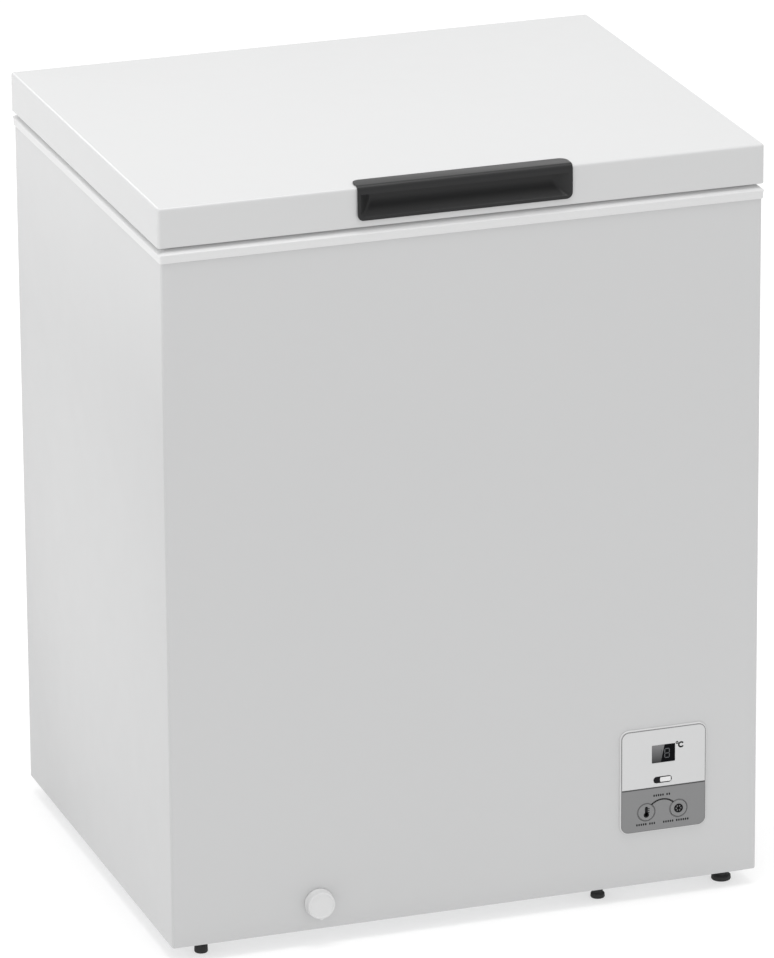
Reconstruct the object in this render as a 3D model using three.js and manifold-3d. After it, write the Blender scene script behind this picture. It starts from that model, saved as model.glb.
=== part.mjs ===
// Chest freezer: foamed steel cabinet, insulated lid on two sprung rear hinges, grip handle let into
// the lid's front edge, control panel and drain on the front, hanging wire basket, and the
// refrigeration parts in the machine compartment under the cavity's step.
//
// Millimetres, +Z up, the front faces -Y. Positions are worked out with y = 0 on the lid's front face
// and z = 0 on the floor; the last lines move the whole freezer so that y = 0 is its middle.
import * as THREE from "three";
import { mergeVertices } from "three/addons/utils/BufferGeometryUtils.js";
import Module from "manifold-3d";

const wasm = await Module();
wasm.setup();

// ---------------------------------------------------------------- driving dimensions
const LID_WIDTH = 680;
const LID_DEPTH = 546;
const LID_TOP = 854;
const LID_HEIGHT = 44;
const SHEET = 0.8; // steel and aluminium sheet
const FIT = 0.3; // gap between neighbouring pieces
const EDGE_RADIUS = 3; // folded edges of the steel sheet
const CABINET_WIDTH = 675;
const CABINET_DEPTH = 543;
const CABINET_BOTTOM = 19;
const COLLAR_WIDTH = 679;
const COLLAR_OVERHANG = 2.5; // in front of the cabinet and behind it
const COLLAR_BOTTOM = 793.5;
const COLLAR_NOSE = 803;
const COLLAR_RIM = 808.5;
const MOUTH = { x: 280, front: 56, back: 488, radius: 20 };
const CAVITY_FLOOR = 80;
const STEP = { x: 95, z: 340 }; // the cavity floor rises here, over the machine compartment
const COMPARTMENT = { x: 150, z: 285 }; // its inner side and its roof
const HINGE = { x: 225, y: 560, z: 811, pinRadius: 4, boreRadius: 4.12 };
const HANDLE = { halfWidth: 120.5, bottom: 817.5, top: 855.8, front: -2.2, back: 22 };
const GRIP = { halfWidth: 113, bottom: 822, top: 844, depth: 21, wall: 2.5 };
const PANEL = { x: 227, z: 141.4, width: 101, height: 121, radius: 10, front: -2 };
const WINDOW = { x: 226.8, z: 171.3, width: 26.8, height: 20.4 };
const INDICATOR = { x: 226, z: 140.8, width: 21.2, height: 7.4 };
const BUTTON = { z: 104.6, radius: 9.6, hole: 10, travel: 1, temperatureX: 207, freezeX: 244.7 };
const DRAIN = { x: -171, z: 50, y: 110, outer: 9.5, bore: 7 };
const DIAL = { radius: 15.4, flange: 16.4, front: -11, spigot: 3, reach: 30 };
const BASKET = { x: -275, width: 200, front: 62, back: 482, bottom: 590, rim: 778, bar: 4 };
const COMPRESSOR = { x: 243, y: 400, radius: 78, stretch: 1.15, bottom: 35, top: 195 };

const lidBottom = LID_TOP - LID_HEIGHT;
const cabinetX = CABINET_WIDTH / 2;
const collarX = COLLAR_WIDTH / 2;
const lidX = LID_WIDTH / 2;
const collarBack = CABINET_DEPTH + COLLAR_OVERHANG;
const foamTop = COLLAR_NOSE - 3 - FIT;
const rearFace = CABINET_DEPTH + FIT + SHEET;

// ---------------------------------------------------------------- materials
function paint(color, roughness, metalness = 0) {
  return new THREE.MeshStandardMaterial({ color, roughness, metalness });
}

const white = paint(0xe9eaea, 0.35);
const whitePlastic = paint(0xf2f2f2, 0.45);
const darkPlastic = paint(0x2f3032, 0.45);
const blackRubber = paint(0x1c1c1c, 0.8);
const blackPaint = paint(0x17181a, 0.4, 0.2);
const greyPlastic = paint(0x9d9fa1, 0.5);
const glassBlack = paint(0x08090a, 0.1);
const zinc = paint(0xa9adb0, 0.45, 0.9);
const aluminium = paint(0xcfd2d4, 0.4, 0.9);
const copper = paint(0xb87350, 0.35, 0.9);
const foamYellow = paint(0xe3d3a0, 0.9);
const boardGreen = paint(0x1f5a38, 0.6);
const gasketGrey = paint(0xd9dadb, 0.7);

// ---------------------------------------------------------------- solids from three.js geometry
function toSolid(geometry) {
  const bare = geometry.clone();
  bare.deleteAttribute("normal");
  bare.deleteAttribute("uv");
  const merged = mergeVertices(bare, 1e-4);
  const vertProperties = new Float32Array(merged.attributes.position.array);
  const triVerts = new Uint32Array(merged.index.array);
  return new wasm.Manifold(new wasm.Mesh({ numProp: 3, vertProperties, triVerts }));
}

function toGeometry(solid) {
  const mesh = solid.getMesh();
  const geometry = new THREE.BufferGeometry();
  const positions = new Float32Array(mesh.vertProperties);
  geometry.setAttribute("position", new THREE.BufferAttribute(positions, 3));
  geometry.setIndex(new THREE.BufferAttribute(new Uint32Array(mesh.triVerts), 1));
  const faceted = geometry.toNonIndexed();
  faceted.computeVertexNormals();
  return faceted;
}

function join(...geometries) {
  const solids = geometries.map(toSolid);
  return toGeometry(solids.reduce((sum, solid) => sum.add(solid)));
}

function cut(geometry, ...tools) {
  const solids = tools.map(toSolid);
  return toGeometry(solids.reduce((rest, tool) => rest.subtract(tool), toSolid(geometry)));
}

function common(...geometries) {
  const solids = geometries.map(toSolid);
  return toGeometry(solids.reduce((rest, solid) => rest.intersect(solid)));
}

function box(x0, x1, y0, y1, z0, z1) {
  const geometry = new THREE.BoxGeometry(x1 - x0, y1 - y0, z1 - z0);
  return geometry.translate((x0 + x1) / 2, (y0 + y1) / 2, (z0 + z1) / 2);
}

function roundRect(u0, u1, v0, v1, radius) {
  const shape = new THREE.Shape();
  shape.moveTo(u0 + radius, v0);
  shape.lineTo(u1 - radius, v0);
  shape.absarc(u1 - radius, v0 + radius, radius, -Math.PI / 2, 0, false);
  shape.lineTo(u1, v1 - radius);
  shape.absarc(u1 - radius, v1 - radius, radius, 0, Math.PI / 2, false);
  shape.lineTo(u0 + radius, v1);
  shape.absarc(u0 + radius, v1 - radius, radius, Math.PI / 2, Math.PI, false);
  shape.lineTo(u0, v0 + radius);
  shape.absarc(u0 + radius, v0 + radius, radius, Math.PI, Math.PI * 1.5, false);
  return shape;
}

function polygon(points) {
  return new THREE.Shape(points.map(([u, v]) => new THREE.Vector2(u, v)));
}

// A shape drawn in (x, y), raised from z0 to z1.
function alongZ(shape, z0, z1, curveSegments = 3) {
  const options = { depth: z1 - z0, bevelEnabled: false, curveSegments };
  return new THREE.ExtrudeGeometry(shape, options).translate(0, 0, z0);
}

// A shape drawn in (y, z), drawn out from x0 to x1.
function alongX(shape, x0, x1, curveSegments = 3) {
  const turn = new THREE.Matrix4().makeBasis(
    new THREE.Vector3(0, 1, 0),
    new THREE.Vector3(0, 0, 1),
    new THREE.Vector3(1, 0, 0),
  );
  const options = { depth: x1 - x0, bevelEnabled: false, curveSegments };
  return new THREE.ExtrudeGeometry(shape, options).applyMatrix4(turn).translate(x0, 0, 0);
}

// A shape drawn in (x, z), drawn out from y0 to y1.
function alongY(shape, y0, y1, curveSegments = 3) {
  const turn = new THREE.Matrix4().makeBasis(
    new THREE.Vector3(1, 0, 0),
    new THREE.Vector3(0, 0, 1),
    new THREE.Vector3(0, -1, 0),
  );
  const options = { depth: y1 - y0, bevelEnabled: false, curveSegments };
  return new THREE.ExtrudeGeometry(shape, options).applyMatrix4(turn).translate(0, y1, 0);
}

function rodX(radius, x0, x1, y, z, sides = 16) {
  const rod = new THREE.CylinderGeometry(radius, radius, x1 - x0, sides);
  return rod.rotateZ(-Math.PI / 2).translate((x0 + x1) / 2, y, z);
}

function rodY(radius, y0, y1, x, z, sides = 16) {
  const rod = new THREE.CylinderGeometry(radius, radius, y1 - y0, sides);
  return rod.translate(x, (y0 + y1) / 2, z);
}

function rodZ(radius, z0, z1, x, y, sides = 16) {
  const rod = new THREE.CylinderGeometry(radius, radius, z1 - z0, sides);
  return rod.rotateX(Math.PI / 2).translate(x, y, (z0 + z1) / 2);
}

// A turned piece about the Z axis, from [radius, height] points that start and end on the axis
// or close on themselves.
function turned(points, sides = 16) {
  const profile = points.map(([radius, height]) => new THREE.Vector2(radius, height));
  return new THREE.LatheGeometry(profile, sides).rotateX(Math.PI / 2);
}

// A path through exact points: each step of the extrusion lands on one of them.
class Route extends THREE.Curve {
  constructor(points) {
    super();
    this.points = points.map((point) => new THREE.Vector3(...point));
  }
  getPoint(t, target = new THREE.Vector3()) {
    const place = Math.min(Math.max(t, 0), 1) * (this.points.length - 1);
    const index = Math.min(Math.floor(place), this.points.length - 2);
    return target.lerpVectors(this.points[index], this.points[index + 1], place - index);
  }
  getPointAt(u, target) {
    return this.getPoint(u, target);
  }
  getTangentAt(u, target) {
    return this.getTangent(u, target);
  }
}

function pipe(points, radius, sides = 6) {
  const section = new THREE.Shape();
  for (let i = 0; i < sides; i++) {
    const angle = (i / sides) * Math.PI * 2;
    section[i ? "lineTo" : "moveTo"](radius * Math.cos(angle), radius * Math.sin(angle));
  }
  const extrudePath = new Route(points);
  return new THREE.ExtrudeGeometry(section, { extrudePath, steps: points.length - 1 });
}

// A bent pipe: straight runs between the corners, each corner rounded.
function bentPipe(corners, radius, bend, sides = 8) {
  const points = [corners[0]];
  for (let i = 1; i < corners.length - 1; i++) {
    const before = new THREE.Vector3(...corners[i - 1]);
    const corner = new THREE.Vector3(...corners[i]);
    const after = new THREE.Vector3(...corners[i + 1]);
    const start = corner.clone().add(before.sub(corner).setLength(bend));
    const end = corner.clone().add(after.sub(corner).setLength(bend));
    const arc = new THREE.QuadraticBezierCurve3(start, corner, end);
    points.push(...arc.getPoints(3).map((point) => point.toArray()));
  }
  points.push(corners[corners.length - 1]);
  return pipe(points, radius, sides);
}

// A flat grille drawn out from w0 to w1 by alongX, alongY or alongZ, with a grid of openings.
function lattice(drawOut, [u0, u1], [v0, v1], [w0, w1], columns, rows, bar) {
  const pitchU = (u1 - u0 - bar) / columns;
  const pitchV = (v1 - v0 - bar) / rows;
  const holes = [];
  for (let i = 0; i < columns; i++) {
    for (let j = 0; j < rows; j++) {
      const u = u0 + bar + i * pitchU;
      const v = v0 + bar + j * pitchV;
      const opening = polygon([
        [u, v],
        [u + pitchU - bar, v],
        [u + pitchU - bar, v + pitchV - bar],
        [u, v + pitchV - bar],
      ]);
      holes.push(drawOut(opening, w0 - 1, w1 + 1));
    }
  }
  return cut(drawOut(roundRect(u0, u1, v0, v1, 1), w0, w1), ...holes);
}

function add(group, name, geometry, material) {
  const mesh = new THREE.Mesh(geometry, material);
  mesh.name = name;
  group.add(mesh);
  return mesh;
}

// ---------------------------------------------------------------- cabinet shell
const bezelBody = { x: PANEL.width / 2 - 5.5, z: PANEL.height / 2 - 5.5 };

// The hole in the front sheet that the control panel's body passes through.
function panelCutOut() {
  const halfX = bezelBody.x + FIT;
  const halfZ = bezelBody.z + FIT;
  const left = PANEL.x - halfX;
  const low = PANEL.z - halfZ;
  return alongY(roundRect(left, left + 2 * halfX, low, low + 2 * halfZ, 4), -2, 4);
}

// Front and both sides are one folded sheet, turned in at the back for the rear panel.
function outerWrap() {
  const r = EDGE_RADIUS;
  const inner = cabinetX - SHEET;
  const fold = 16;
  const back = CABINET_DEPTH;
  const shape = new THREE.Shape();
  shape.moveTo(-cabinetX + fold, back);
  shape.lineTo(-cabinetX, back);
  shape.lineTo(-cabinetX, r);
  shape.absarc(-cabinetX + r, r, r, Math.PI, Math.PI * 1.5, false);
  shape.lineTo(cabinetX - r, 0);
  shape.absarc(cabinetX - r, r, r, -Math.PI / 2, 0, false);
  shape.lineTo(cabinetX, back);
  shape.lineTo(cabinetX - fold, back);
  shape.lineTo(cabinetX - fold, back - SHEET);
  shape.lineTo(inner, back - SHEET);
  shape.lineTo(inner, r);
  shape.absarc(cabinetX - r, r, r - SHEET, 0, -Math.PI / 2, true);
  shape.lineTo(-cabinetX + r, SHEET);
  shape.absarc(-cabinetX + r, r, r - SHEET, Math.PI * 1.5, Math.PI, true);
  shape.lineTo(-inner, back - SHEET);
  shape.lineTo(-cabinetX + fold, back - SHEET);
  const sheet = alongZ(shape, CABINET_BOTTOM, COLLAR_BOTTOM - FIT);
  const drainHole = rodY(DRAIN.outer + FIT, -2, 4, DRAIN.x, DRAIN.z);
  return cut(sheet, panelCutOut(), drainHole);
}

function rearPanel() {
  const x = cabinetX - 6;
  const sheet = box(-x, x, rearFace - SHEET, rearFace, CABINET_BOTTOM + 1, COLLAR_BOTTOM - FIT);
  const window = box(COMPARTMENT.x + 10, x - 8, rearFace - 3, rearFace + 2, 27, COMPARTMENT.z - 12);
  return cut(sheet, window);
}

const inside = { x: cabinetX - SHEET - FIT, front: SHEET + FIT, back: CABINET_DEPTH - SHEET - FIT };

function bottomPanel() {
  const top = CABINET_BOTTOM + SHEET;
  const front = inside.front + EDGE_RADIUS;
  return box(-inside.x, COMPARTMENT.x - FIT, front, inside.back, CABINET_BOTTOM, top);
}

// Inner side and roof of the machine compartment: one folded sheet.
function compartmentPanel() {
  const side = COMPARTMENT.x;
  const roof = COMPARTMENT.z;
  const outline = polygon([
    [side, CABINET_BOTTOM],
    [side + SHEET, CABINET_BOTTOM],
    [side + SHEET, roof],
    [inside.x, roof],
    [inside.x, roof + SHEET],
    [side, roof + SHEET],
  ]);
  return alongY(outline, inside.front + EDGE_RADIUS, inside.back);
}

// The cavity's outer form, grown by a wall, up to a height.
function cavityForm(grow, top) {
  const outline = polygon([
    [-MOUTH.x - grow, CAVITY_FLOOR - grow],
    [STEP.x + grow, CAVITY_FLOOR - grow],
    [STEP.x + grow, STEP.z - grow],
    [MOUTH.x + grow, STEP.z - grow],
    [MOUTH.x + grow, top],
    [-MOUTH.x - grow, top],
  ]);
  const front = MOUTH.front - grow;
  const back = MOUTH.back + grow;
  const plan = roundRect(-MOUTH.x - grow, MOUTH.x + grow, front, back, MOUTH.radius + grow);
  return common(alongY(outline, front, back), alongZ(plan, CAVITY_FLOOR - grow, top, 4));
}

function innerLiner() {
  const drainHole = rodZ(DRAIN.outer + FIT, CAVITY_FLOOR - 4, CAVITY_FLOOR + 4, DRAIN.x, DRAIN.y);
  return cut(cavityForm(SHEET, foamTop), cavityForm(0, foamTop + 5), drainHole);
}

// ---------------------------------------------------------------- coils in the foam
const EVAPORATOR = { radius: 3.5, first: 380, pitch: 105, turns: 4, gap: 12 };
const CONDENSER = { radius: 2.5, first: 120, pitch: 100, runs: 7, front: 95, back: 450 };
const evaporatorOffset = SHEET + FIT + EVAPORATOR.radius + FIT;
const condenserX = -(cabinetX - SHEET - FIT - CONDENSER.radius);

// One turn round the liner, from one side of the back's middle to the other.
function evaporatorTurn(z) {
  const x = MOUTH.x + evaporatorOffset;
  const front = MOUTH.front - evaporatorOffset;
  const back = MOUTH.back + evaporatorOffset;
  const r = MOUTH.radius + evaporatorOffset;
  const corners = [
    [x - r, back - r, Math.PI / 2],
    [x - r, front + r, 0],
    [-x + r, front + r, -Math.PI / 2],
    [-x + r, back - r, -Math.PI],
  ];
  const points = [[EVAPORATOR.gap, back, z]];
  for (const [cx, cy, start] of corners) {
    for (let i = 0; i <= 3; i++) {
      const angle = start - (i / 3) * (Math.PI / 2);
      points.push([cx + r * Math.cos(angle), cy + r * Math.sin(angle), z]);
    }
  }
  points.push([-EVAPORATOR.gap, back, z]);
  return points;
}

function evaporatorCoil() {
  const points = [];
  for (let turn = 0; turn < EVAPORATOR.turns; turn++) {
    points.push(...evaporatorTurn(EVAPORATOR.first + turn * EVAPORATOR.pitch));
  }
  return pipe(points, EVAPORATOR.radius);
}

// Level runs behind the left side sheet, joined by half-round bends.
function condenserCoil() {
  const points = [];
  const bend = CONDENSER.pitch / 2;
  for (let run = 0; run < CONDENSER.runs; run++) {
    const z = CONDENSER.first + run * CONDENSER.pitch;
    const forward = run % 2 === 0;
    points.push([condenserX, forward ? CONDENSER.front : CONDENSER.back, z]);
    points.push([condenserX, forward ? CONDENSER.back : CONDENSER.front, z]);
    if (run === CONDENSER.runs - 1) break;
    const centre = forward ? CONDENSER.back : CONDENSER.front;
    const side = forward ? 1 : -1;
    for (let i = 1; i < 6; i++) {
      const angle = -Math.PI / 2 + (i / 6) * Math.PI;
      const y = centre + side * bend * Math.cos(angle);
      points.push([condenserX, y, z + bend + bend * Math.sin(angle)]);
    }
  }
  return pipe(points, CONDENSER.radius);
}

// The coil lies in one shallow pocket all round the liner.
function evaporatorPocket() {
  const depth = evaporatorOffset + EVAPORATOR.radius + 1.5;
  const x = MOUTH.x + depth;
  const plan = roundRect(-x, x, MOUTH.front - depth, MOUTH.back + depth, MOUTH.radius + depth);
  const low = EVAPORATOR.first - EVAPORATOR.radius - 1;
  const high = EVAPORATOR.first + (EVAPORATOR.turns - 1) * EVAPORATOR.pitch + EVAPORATOR.radius + 1;
  return alongZ(plan, low, high);
}

function condenserGrooves() {
  const grooves = [];
  const half = CONDENSER.radius + 1;
  const deep = condenserX + CONDENSER.radius + 1;
  const shallow = -cabinetX - 1;
  const bend = CONDENSER.pitch / 2 + half + 1;
  for (let run = 0; run < CONDENSER.runs; run++) {
    const z = CONDENSER.first + run * CONDENSER.pitch;
    grooves.push(box(shallow, deep, CONDENSER.front - 1, CONDENSER.back + 1, z - half, z + half));
  }
  const low = CONDENSER.first - half;
  const high = CONDENSER.first + (CONDENSER.runs - 1) * CONDENSER.pitch + half;
  grooves.push(box(shallow, deep, CONDENSER.front - bend, CONDENSER.front, low, high));
  grooves.push(box(shallow, deep, CONDENSER.back, CONDENSER.back + bend, low, high));
  return grooves;
}

function foamInsulation() {
  const low = CABINET_BOTTOM + SHEET + FIT;
  const plan = roundRect(-inside.x, inside.x, inside.front, inside.back, EDGE_RADIUS - SHEET - FIT);
  const block = alongZ(plan, low, foamTop);
  const compartment = box(
    COMPARTMENT.x - FIT, cabinetX, 0, CABINET_DEPTH, 0, COMPARTMENT.z + SHEET + FIT,
  );
  const skin = SHEET + FIT;
  const cavity = cavityForm(skin, foamTop + 5);
  const drainDown = rodZ(DRAIN.outer + FIT, DRAIN.z, CAVITY_FLOOR + 1, DRAIN.x, DRAIN.y);
  const drainOut = rodY(DRAIN.outer + FIT, -1, DRAIN.y, DRAIN.x, DRAIN.z);
  const elbow = new THREE.SphereGeometry(DRAIN.outer + FIT, 16, 8);
  elbow.translate(DRAIN.x, DRAIN.y, DRAIN.z);
  return cut(
    block, compartment, cavity, drainDown, drainOut, elbow,
    evaporatorPocket(), ...condenserGrooves(),
  );
}

// ---------------------------------------------------------------- top collar
// Moulded frame round the cavity's mouth: upright skirt, nose, slope up to a rim, sealing land.
function topCollar() {
  const run = 8;
  const front = -COLLAR_OVERHANG;
  const rimWidth = 14;
  const sideways = polygon([
    [-collarX, COLLAR_BOTTOM],
    [collarX, COLLAR_BOTTOM],
    [collarX, COLLAR_NOSE],
    [collarX - run, COLLAR_RIM],
    [-collarX + run, COLLAR_RIM],
    [-collarX, COLLAR_NOSE],
  ]);
  const lengthways = polygon([
    [front, COLLAR_BOTTOM],
    [collarBack, COLLAR_BOTTOM],
    [collarBack, COLLAR_NOSE],
    [collarBack - run, COLLAR_RIM],
    [front + run, COLLAR_RIM],
    [front, COLLAR_NOSE],
  ]);
  const plan = roundRect(-collarX, collarX, front, collarBack, EDGE_RADIUS);
  const form = common(
    alongY(sideways, front, collarBack),
    alongX(lengthways, -collarX, collarX),
    alongZ(plan, COLLAR_BOTTOM, COLLAR_RIM),
  );
  const landX = collarX - run - rimWidth;
  const land = box(
    -landX, landX, front + run + rimWidth, collarBack - run - rimWidth, COLLAR_NOSE, COLLAR_RIM + 1,
  );
  const mouthPlan = roundRect(-MOUTH.x, MOUTH.x, MOUTH.front, MOUTH.back, MOUTH.radius);
  const mouth = alongZ(mouthPlan, COLLAR_BOTTOM - 1, COLLAR_RIM + 1, 4);
  const underside = box(
    -inside.x - FIT, inside.x + FIT, inside.front - FIT, inside.back + FIT,
    COLLAR_BOTTOM - 1, COLLAR_NOSE - 3,
  );
  return cut(form, land, mouth, underside);
}

// ---------------------------------------------------------------- machine compartment
const PLATE = { low: 12, thick: 1.5, front: 16, back: 530, upstand: 60 };

// Dished galvanised channel under the compartment; it hangs a little below the cabinet.
function basePlate() {
  const left = COMPARTMENT.x + SHEET + FIT;
  const right = inside.x;
  const t = PLATE.thick;
  const low = PLATE.low;
  const outline = polygon([
    [left, PLATE.upstand],
    [left, low],
    [right - 8, low],
    [right, low + 8],
    [right, PLATE.upstand],
    [right - t, PLATE.upstand],
    [right - t, low + 8 + t / 2],
    [right - 8 - t / 2, low + t],
    [left + t, low + t],
    [left + t, PLATE.upstand],
  ]);
  return alongY(outline, PLATE.front, PLATE.back);
}

function compressorShell() {
  const { radius, bottom, top, stretch } = COMPRESSOR;
  const height = top - bottom;
  const points = [
    [0, 0],
    [radius * 0.72, 0],
    [radius * 0.93, height * 0.1],
    [radius, height * 0.22],
    [radius, height * 0.44],
    [radius * 1.02, height * 0.45],
    [radius * 1.02, height * 0.48],
    [radius * 0.98, height * 0.5],
    [radius * 0.96, height * 0.7],
    [radius * 0.84, height * 0.87],
    [radius * 0.5, height * 0.97],
    [0, height],
  ];
  return turned(points, 20).scale(1, stretch, 1);
}

function compressorCradle() {
  const plate = alongZ(roundRect(-70, 70, -105, 105, 14), 0, 2.4, 4);
  return cut(plate, ...grommetPlaces.map(([x, y]) => rodZ(6, -1, 4, x, y, 16)));
}

const grommetPlaces = [
  [-56, -88],
  [56, -88],
  [-56, 88],
  [56, 88],
];

// Rubber foot with a waist that the cradle's hole sits in.
function grommet() {
  const points = [
    [0, 0],
    [12, 0],
    [12, 10],
    [9.5, 17.9],
    [5.6, 18.2],
    [5.6, 21.2],
    [9, 21.5],
    [8, 25],
    [0, 25],
  ];
  return turned(points, 12);
}

function terminalCover() {
  const shape = roundRect(-30, 30, 0, 54, 6);
  return alongY(shape, 0, 26);
}

function filterDrier() {
  const points = [
    [0, 0],
    [2.4, 0],
    [2.4, 6],
    [9.5, 16],
    [9.5, 78],
    [3, 92],
    [3, 154.4],
    [0, 154.4],
  ];
  return turned(points, 16);
}

const COVER = { left: 152, right: 331, low: 20.5, high: 283, thick: 1.2, rows: 9, pitch: 23 };
const GLAND = { x: 172, z: 262, radius: 7, flange: 11, bore: 3.8 };

// Pressed cover over the compartment's rear, with two columns of air slots.
function rearGrille() {
  const face = rearFace + FIT;
  const outline = roundRect(COVER.left, COVER.right, COVER.low, COVER.high, 3);
  const columns = [
    [COVER.left + 14, COVER.left + 82],
    [COVER.right - 82, COVER.right - 14],
  ];
  const holes = [rodY(GLAND.radius + FIT, face - 2, face + 4, GLAND.x, GLAND.z)];
  for (const [x0, x1] of columns) {
    for (let row = 0; row < COVER.rows; row++) {
      const z = COVER.low + 16 + row * COVER.pitch;
      holes.push(box(x0, x1, face - 2, face + 4, z, z + 8));
    }
  }
  return cut(alongY(outline, face, face + COVER.thick), ...holes);
}

// Bushing that the mains cord would leave through.
function cordGland() {
  const points = [
    [GLAND.bore, 0],
    [GLAND.radius, 0],
    [GLAND.radius, 5.2],
    [GLAND.flange, 5.6],
    [GLAND.flange - 1.5, 9],
    [GLAND.bore, 9],
    [GLAND.bore, 0],
  ];
  const gland = turned(points, 20).rotateX(-Math.PI / 2);
  return gland.translate(GLAND.x, rearFace - 3.7, GLAND.z);
}

function foot(radius, height) {
  const points = [
    [0, 0],
    [radius - 1, 0],
    [radius, 2],
    [radius, height * 0.55],
    [radius * 0.72, height * 0.62],
    [radius * 0.72, height],
    [0, height],
  ];
  return turned(points, 14);
}

// ---------------------------------------------------------------- control panel
function panelHole(place, clearance, y0, y1) {
  const left = place.x - place.width / 2 - clearance;
  const low = place.z - place.height / 2 - clearance;
  const right = left + place.width + 2 * clearance;
  const high = low + place.height + 2 * clearance;
  const radius = place === INDICATOR ? (high - low) / 2 - 0.01 : 0.8;
  return alongY(roundRect(left, right, low, high, radius), y0, y1);
}

function buttonHoles(radius, y0, y1) {
  return [BUTTON.temperatureX, BUTTON.freezeX].map((x) => rodY(radius, y0, y1, x, BUTTON.z));
}

function panelSlab(inset, radius, y0, y1) {
  const halfX = PANEL.width / 2 - inset;
  const halfZ = PANEL.height / 2 - inset;
  const left = PANEL.x - halfX;
  const low = PANEL.z - halfZ;
  return alongY(roundRect(left, left + 2 * halfX, low, low + 2 * halfZ, radius), y0, y1, 4);
}

// Front flange on the sheet, and an open-backed housing behind it.
function controlBezel() {
  const flange = panelSlab(0, PANEL.radius, PANEL.front, -FIT);
  const left = PANEL.x - bezelBody.x;
  const low = PANEL.z - bezelBody.z;
  const right = PANEL.x + bezelBody.x;
  const high = PANEL.z + bezelBody.z;
  const body = alongY(roundRect(left, right, low, high, 3.5), -1, 20);
  const wall = 2;
  const hollow = box(left + wall, right - wall, 1.2, 25, low + wall, high - wall);
  return cut(
    join(flange, body), hollow,
    panelHole(WINDOW, FIT, -5, 5), panelHole(INDICATOR, FIT, -5, 5),
    ...buttonHoles(BUTTON.hole, -5, 5),
  );
}

function controlOverlay() {
  const film = panelSlab(1.6, PANEL.radius - 1.6, PANEL.front - 0.7, PANEL.front - FIT);
  return cut(
    film, panelHole(WINDOW, FIT, -5, 5), panelHole(INDICATOR, FIT, -5, 5),
    ...buttonHoles(BUTTON.hole, -5, 5),
  );
}

function buttonCap(x) {
  const cap = rodY(BUTTON.radius, PANEL.front - 1.2, 3, x, BUTTON.z);
  const stem = rodY(2.5, 2, 9.5, x, BUTTON.z, 12);
  return join(cap, stem);
}

function circuitBoard() {
  const x = bezelBody.x - 2.5;
  const z = bezelBody.z - 2.5;
  return box(PANEL.x - x, PANEL.x + x, 12, 13.6, PANEL.z - z, PANEL.z + z);
}

// ---------------------------------------------------------------- drain
// Elbow pipe from the cavity's floor to the front sheet.
function drainTube() {
  const top = CAVITY_FLOOR - SHEET - FIT;
  const elbow = new THREE.SphereGeometry(DRAIN.outer, 16, 8);
  elbow.translate(DRAIN.x, DRAIN.y, DRAIN.z);
  const down = rodZ(DRAIN.outer, DRAIN.z, top, DRAIN.x, DRAIN.y);
  const out = rodY(DRAIN.outer, -1.2, DRAIN.y, DRAIN.x, DRAIN.z);
  const boreElbow = new THREE.SphereGeometry(DRAIN.bore, 16, 8);
  boreElbow.translate(DRAIN.x, DRAIN.y, DRAIN.z);
  const boreDown = rodZ(DRAIN.bore, DRAIN.z, top + 1, DRAIN.x, DRAIN.y);
  const boreOut = rodY(DRAIN.bore, -3, DRAIN.y, DRAIN.x, DRAIN.z);
  return cut(join(elbow, down, out), boreElbow, boreDown, boreOut);
}

// Stopper in the cavity's floor, with a bar to pull it by.
function drainPlug() {
  const points = [
    [0, -14],
    [5.6, -14],
    [6.6, 0.3],
    [14, 0.3],
    [14, 2.2],
    [12.5, 3],
    [0, 3],
  ];
  const grip = box(-9, 9, -1.5, 1.5, 2, 12);
  return join(turned(points), grip);
}

// Sleeve inside the drain pipe: it slides out with the dial.
function drainStem() {
  const points = [
    [3.3, 0],
    [6.6, 0],
    [6.6, 46],
    [3.3, 46],
    [3.3, 0],
  ];
  return turned(points, 20);
}

// Round dial with a rim, a flat grip across it and a spigot that turns in the sleeve.
function drainDial() {
  const depth = -DIAL.front;
  const points = [
    [0, 0],
    [DIAL.radius - 1.5, 0],
    [DIAL.radius, 1.5],
    [DIAL.radius, depth - 4],
    [DIAL.flange, depth - 3],
    [DIAL.flange, depth - 1.5],
    [DIAL.spigot, depth - 1.5],
    [DIAL.spigot, depth + DIAL.reach],
    [0, depth + DIAL.reach],
  ];
  const disc = turned(points);
  const notch = box(-2.2, 2.2, -DIAL.radius - 3, -DIAL.radius + 2.4, -1, 5);
  return cut(disc, notch);
}

// ---------------------------------------------------------------- hinges
const BRACKET = { half: 28, low: 700, high: 792, thick: 2.5, ear: 3, reach: 10 };

// Bracket screwed to the cabinet's back, with two ears that hold the pin.
function hingeBase() {
  const y0 = rearFace + FIT;
  const y1 = y0 + BRACKET.thick;
  const plate = alongY(roundRect(-BRACKET.half, BRACKET.half, BRACKET.low, BRACKET.high, 4), y0, y1);
  const ear = new THREE.Shape();
  ear.moveTo(y0 + 1, 740);
  ear.lineTo(y1 + 2, 740);
  ear.lineTo(HINGE.y + BRACKET.reach, HINGE.z - 8);
  ear.lineTo(HINGE.y + BRACKET.reach, HINGE.z);
  ear.absarc(HINGE.y, HINGE.z, BRACKET.reach, 0, Math.PI, false);
  ear.lineTo(collarBack + FIT + 0.4, BRACKET.high + 1);
  ear.lineTo(collarBack + FIT + 0.4, BRACKET.high - 4);
  ear.lineTo(y0 + 1, BRACKET.high - 6);
  const outer = BRACKET.half;
  const left = alongX(ear, -outer, -outer + BRACKET.ear, 4);
  const right = alongX(ear, outer - BRACKET.ear, outer, 4);
  const bore = rodX(HINGE.boreRadius, -outer - 1, outer + 1, HINGE.y, HINGE.z);
  return cut(join(plate, left, right), bore);
}

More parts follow.
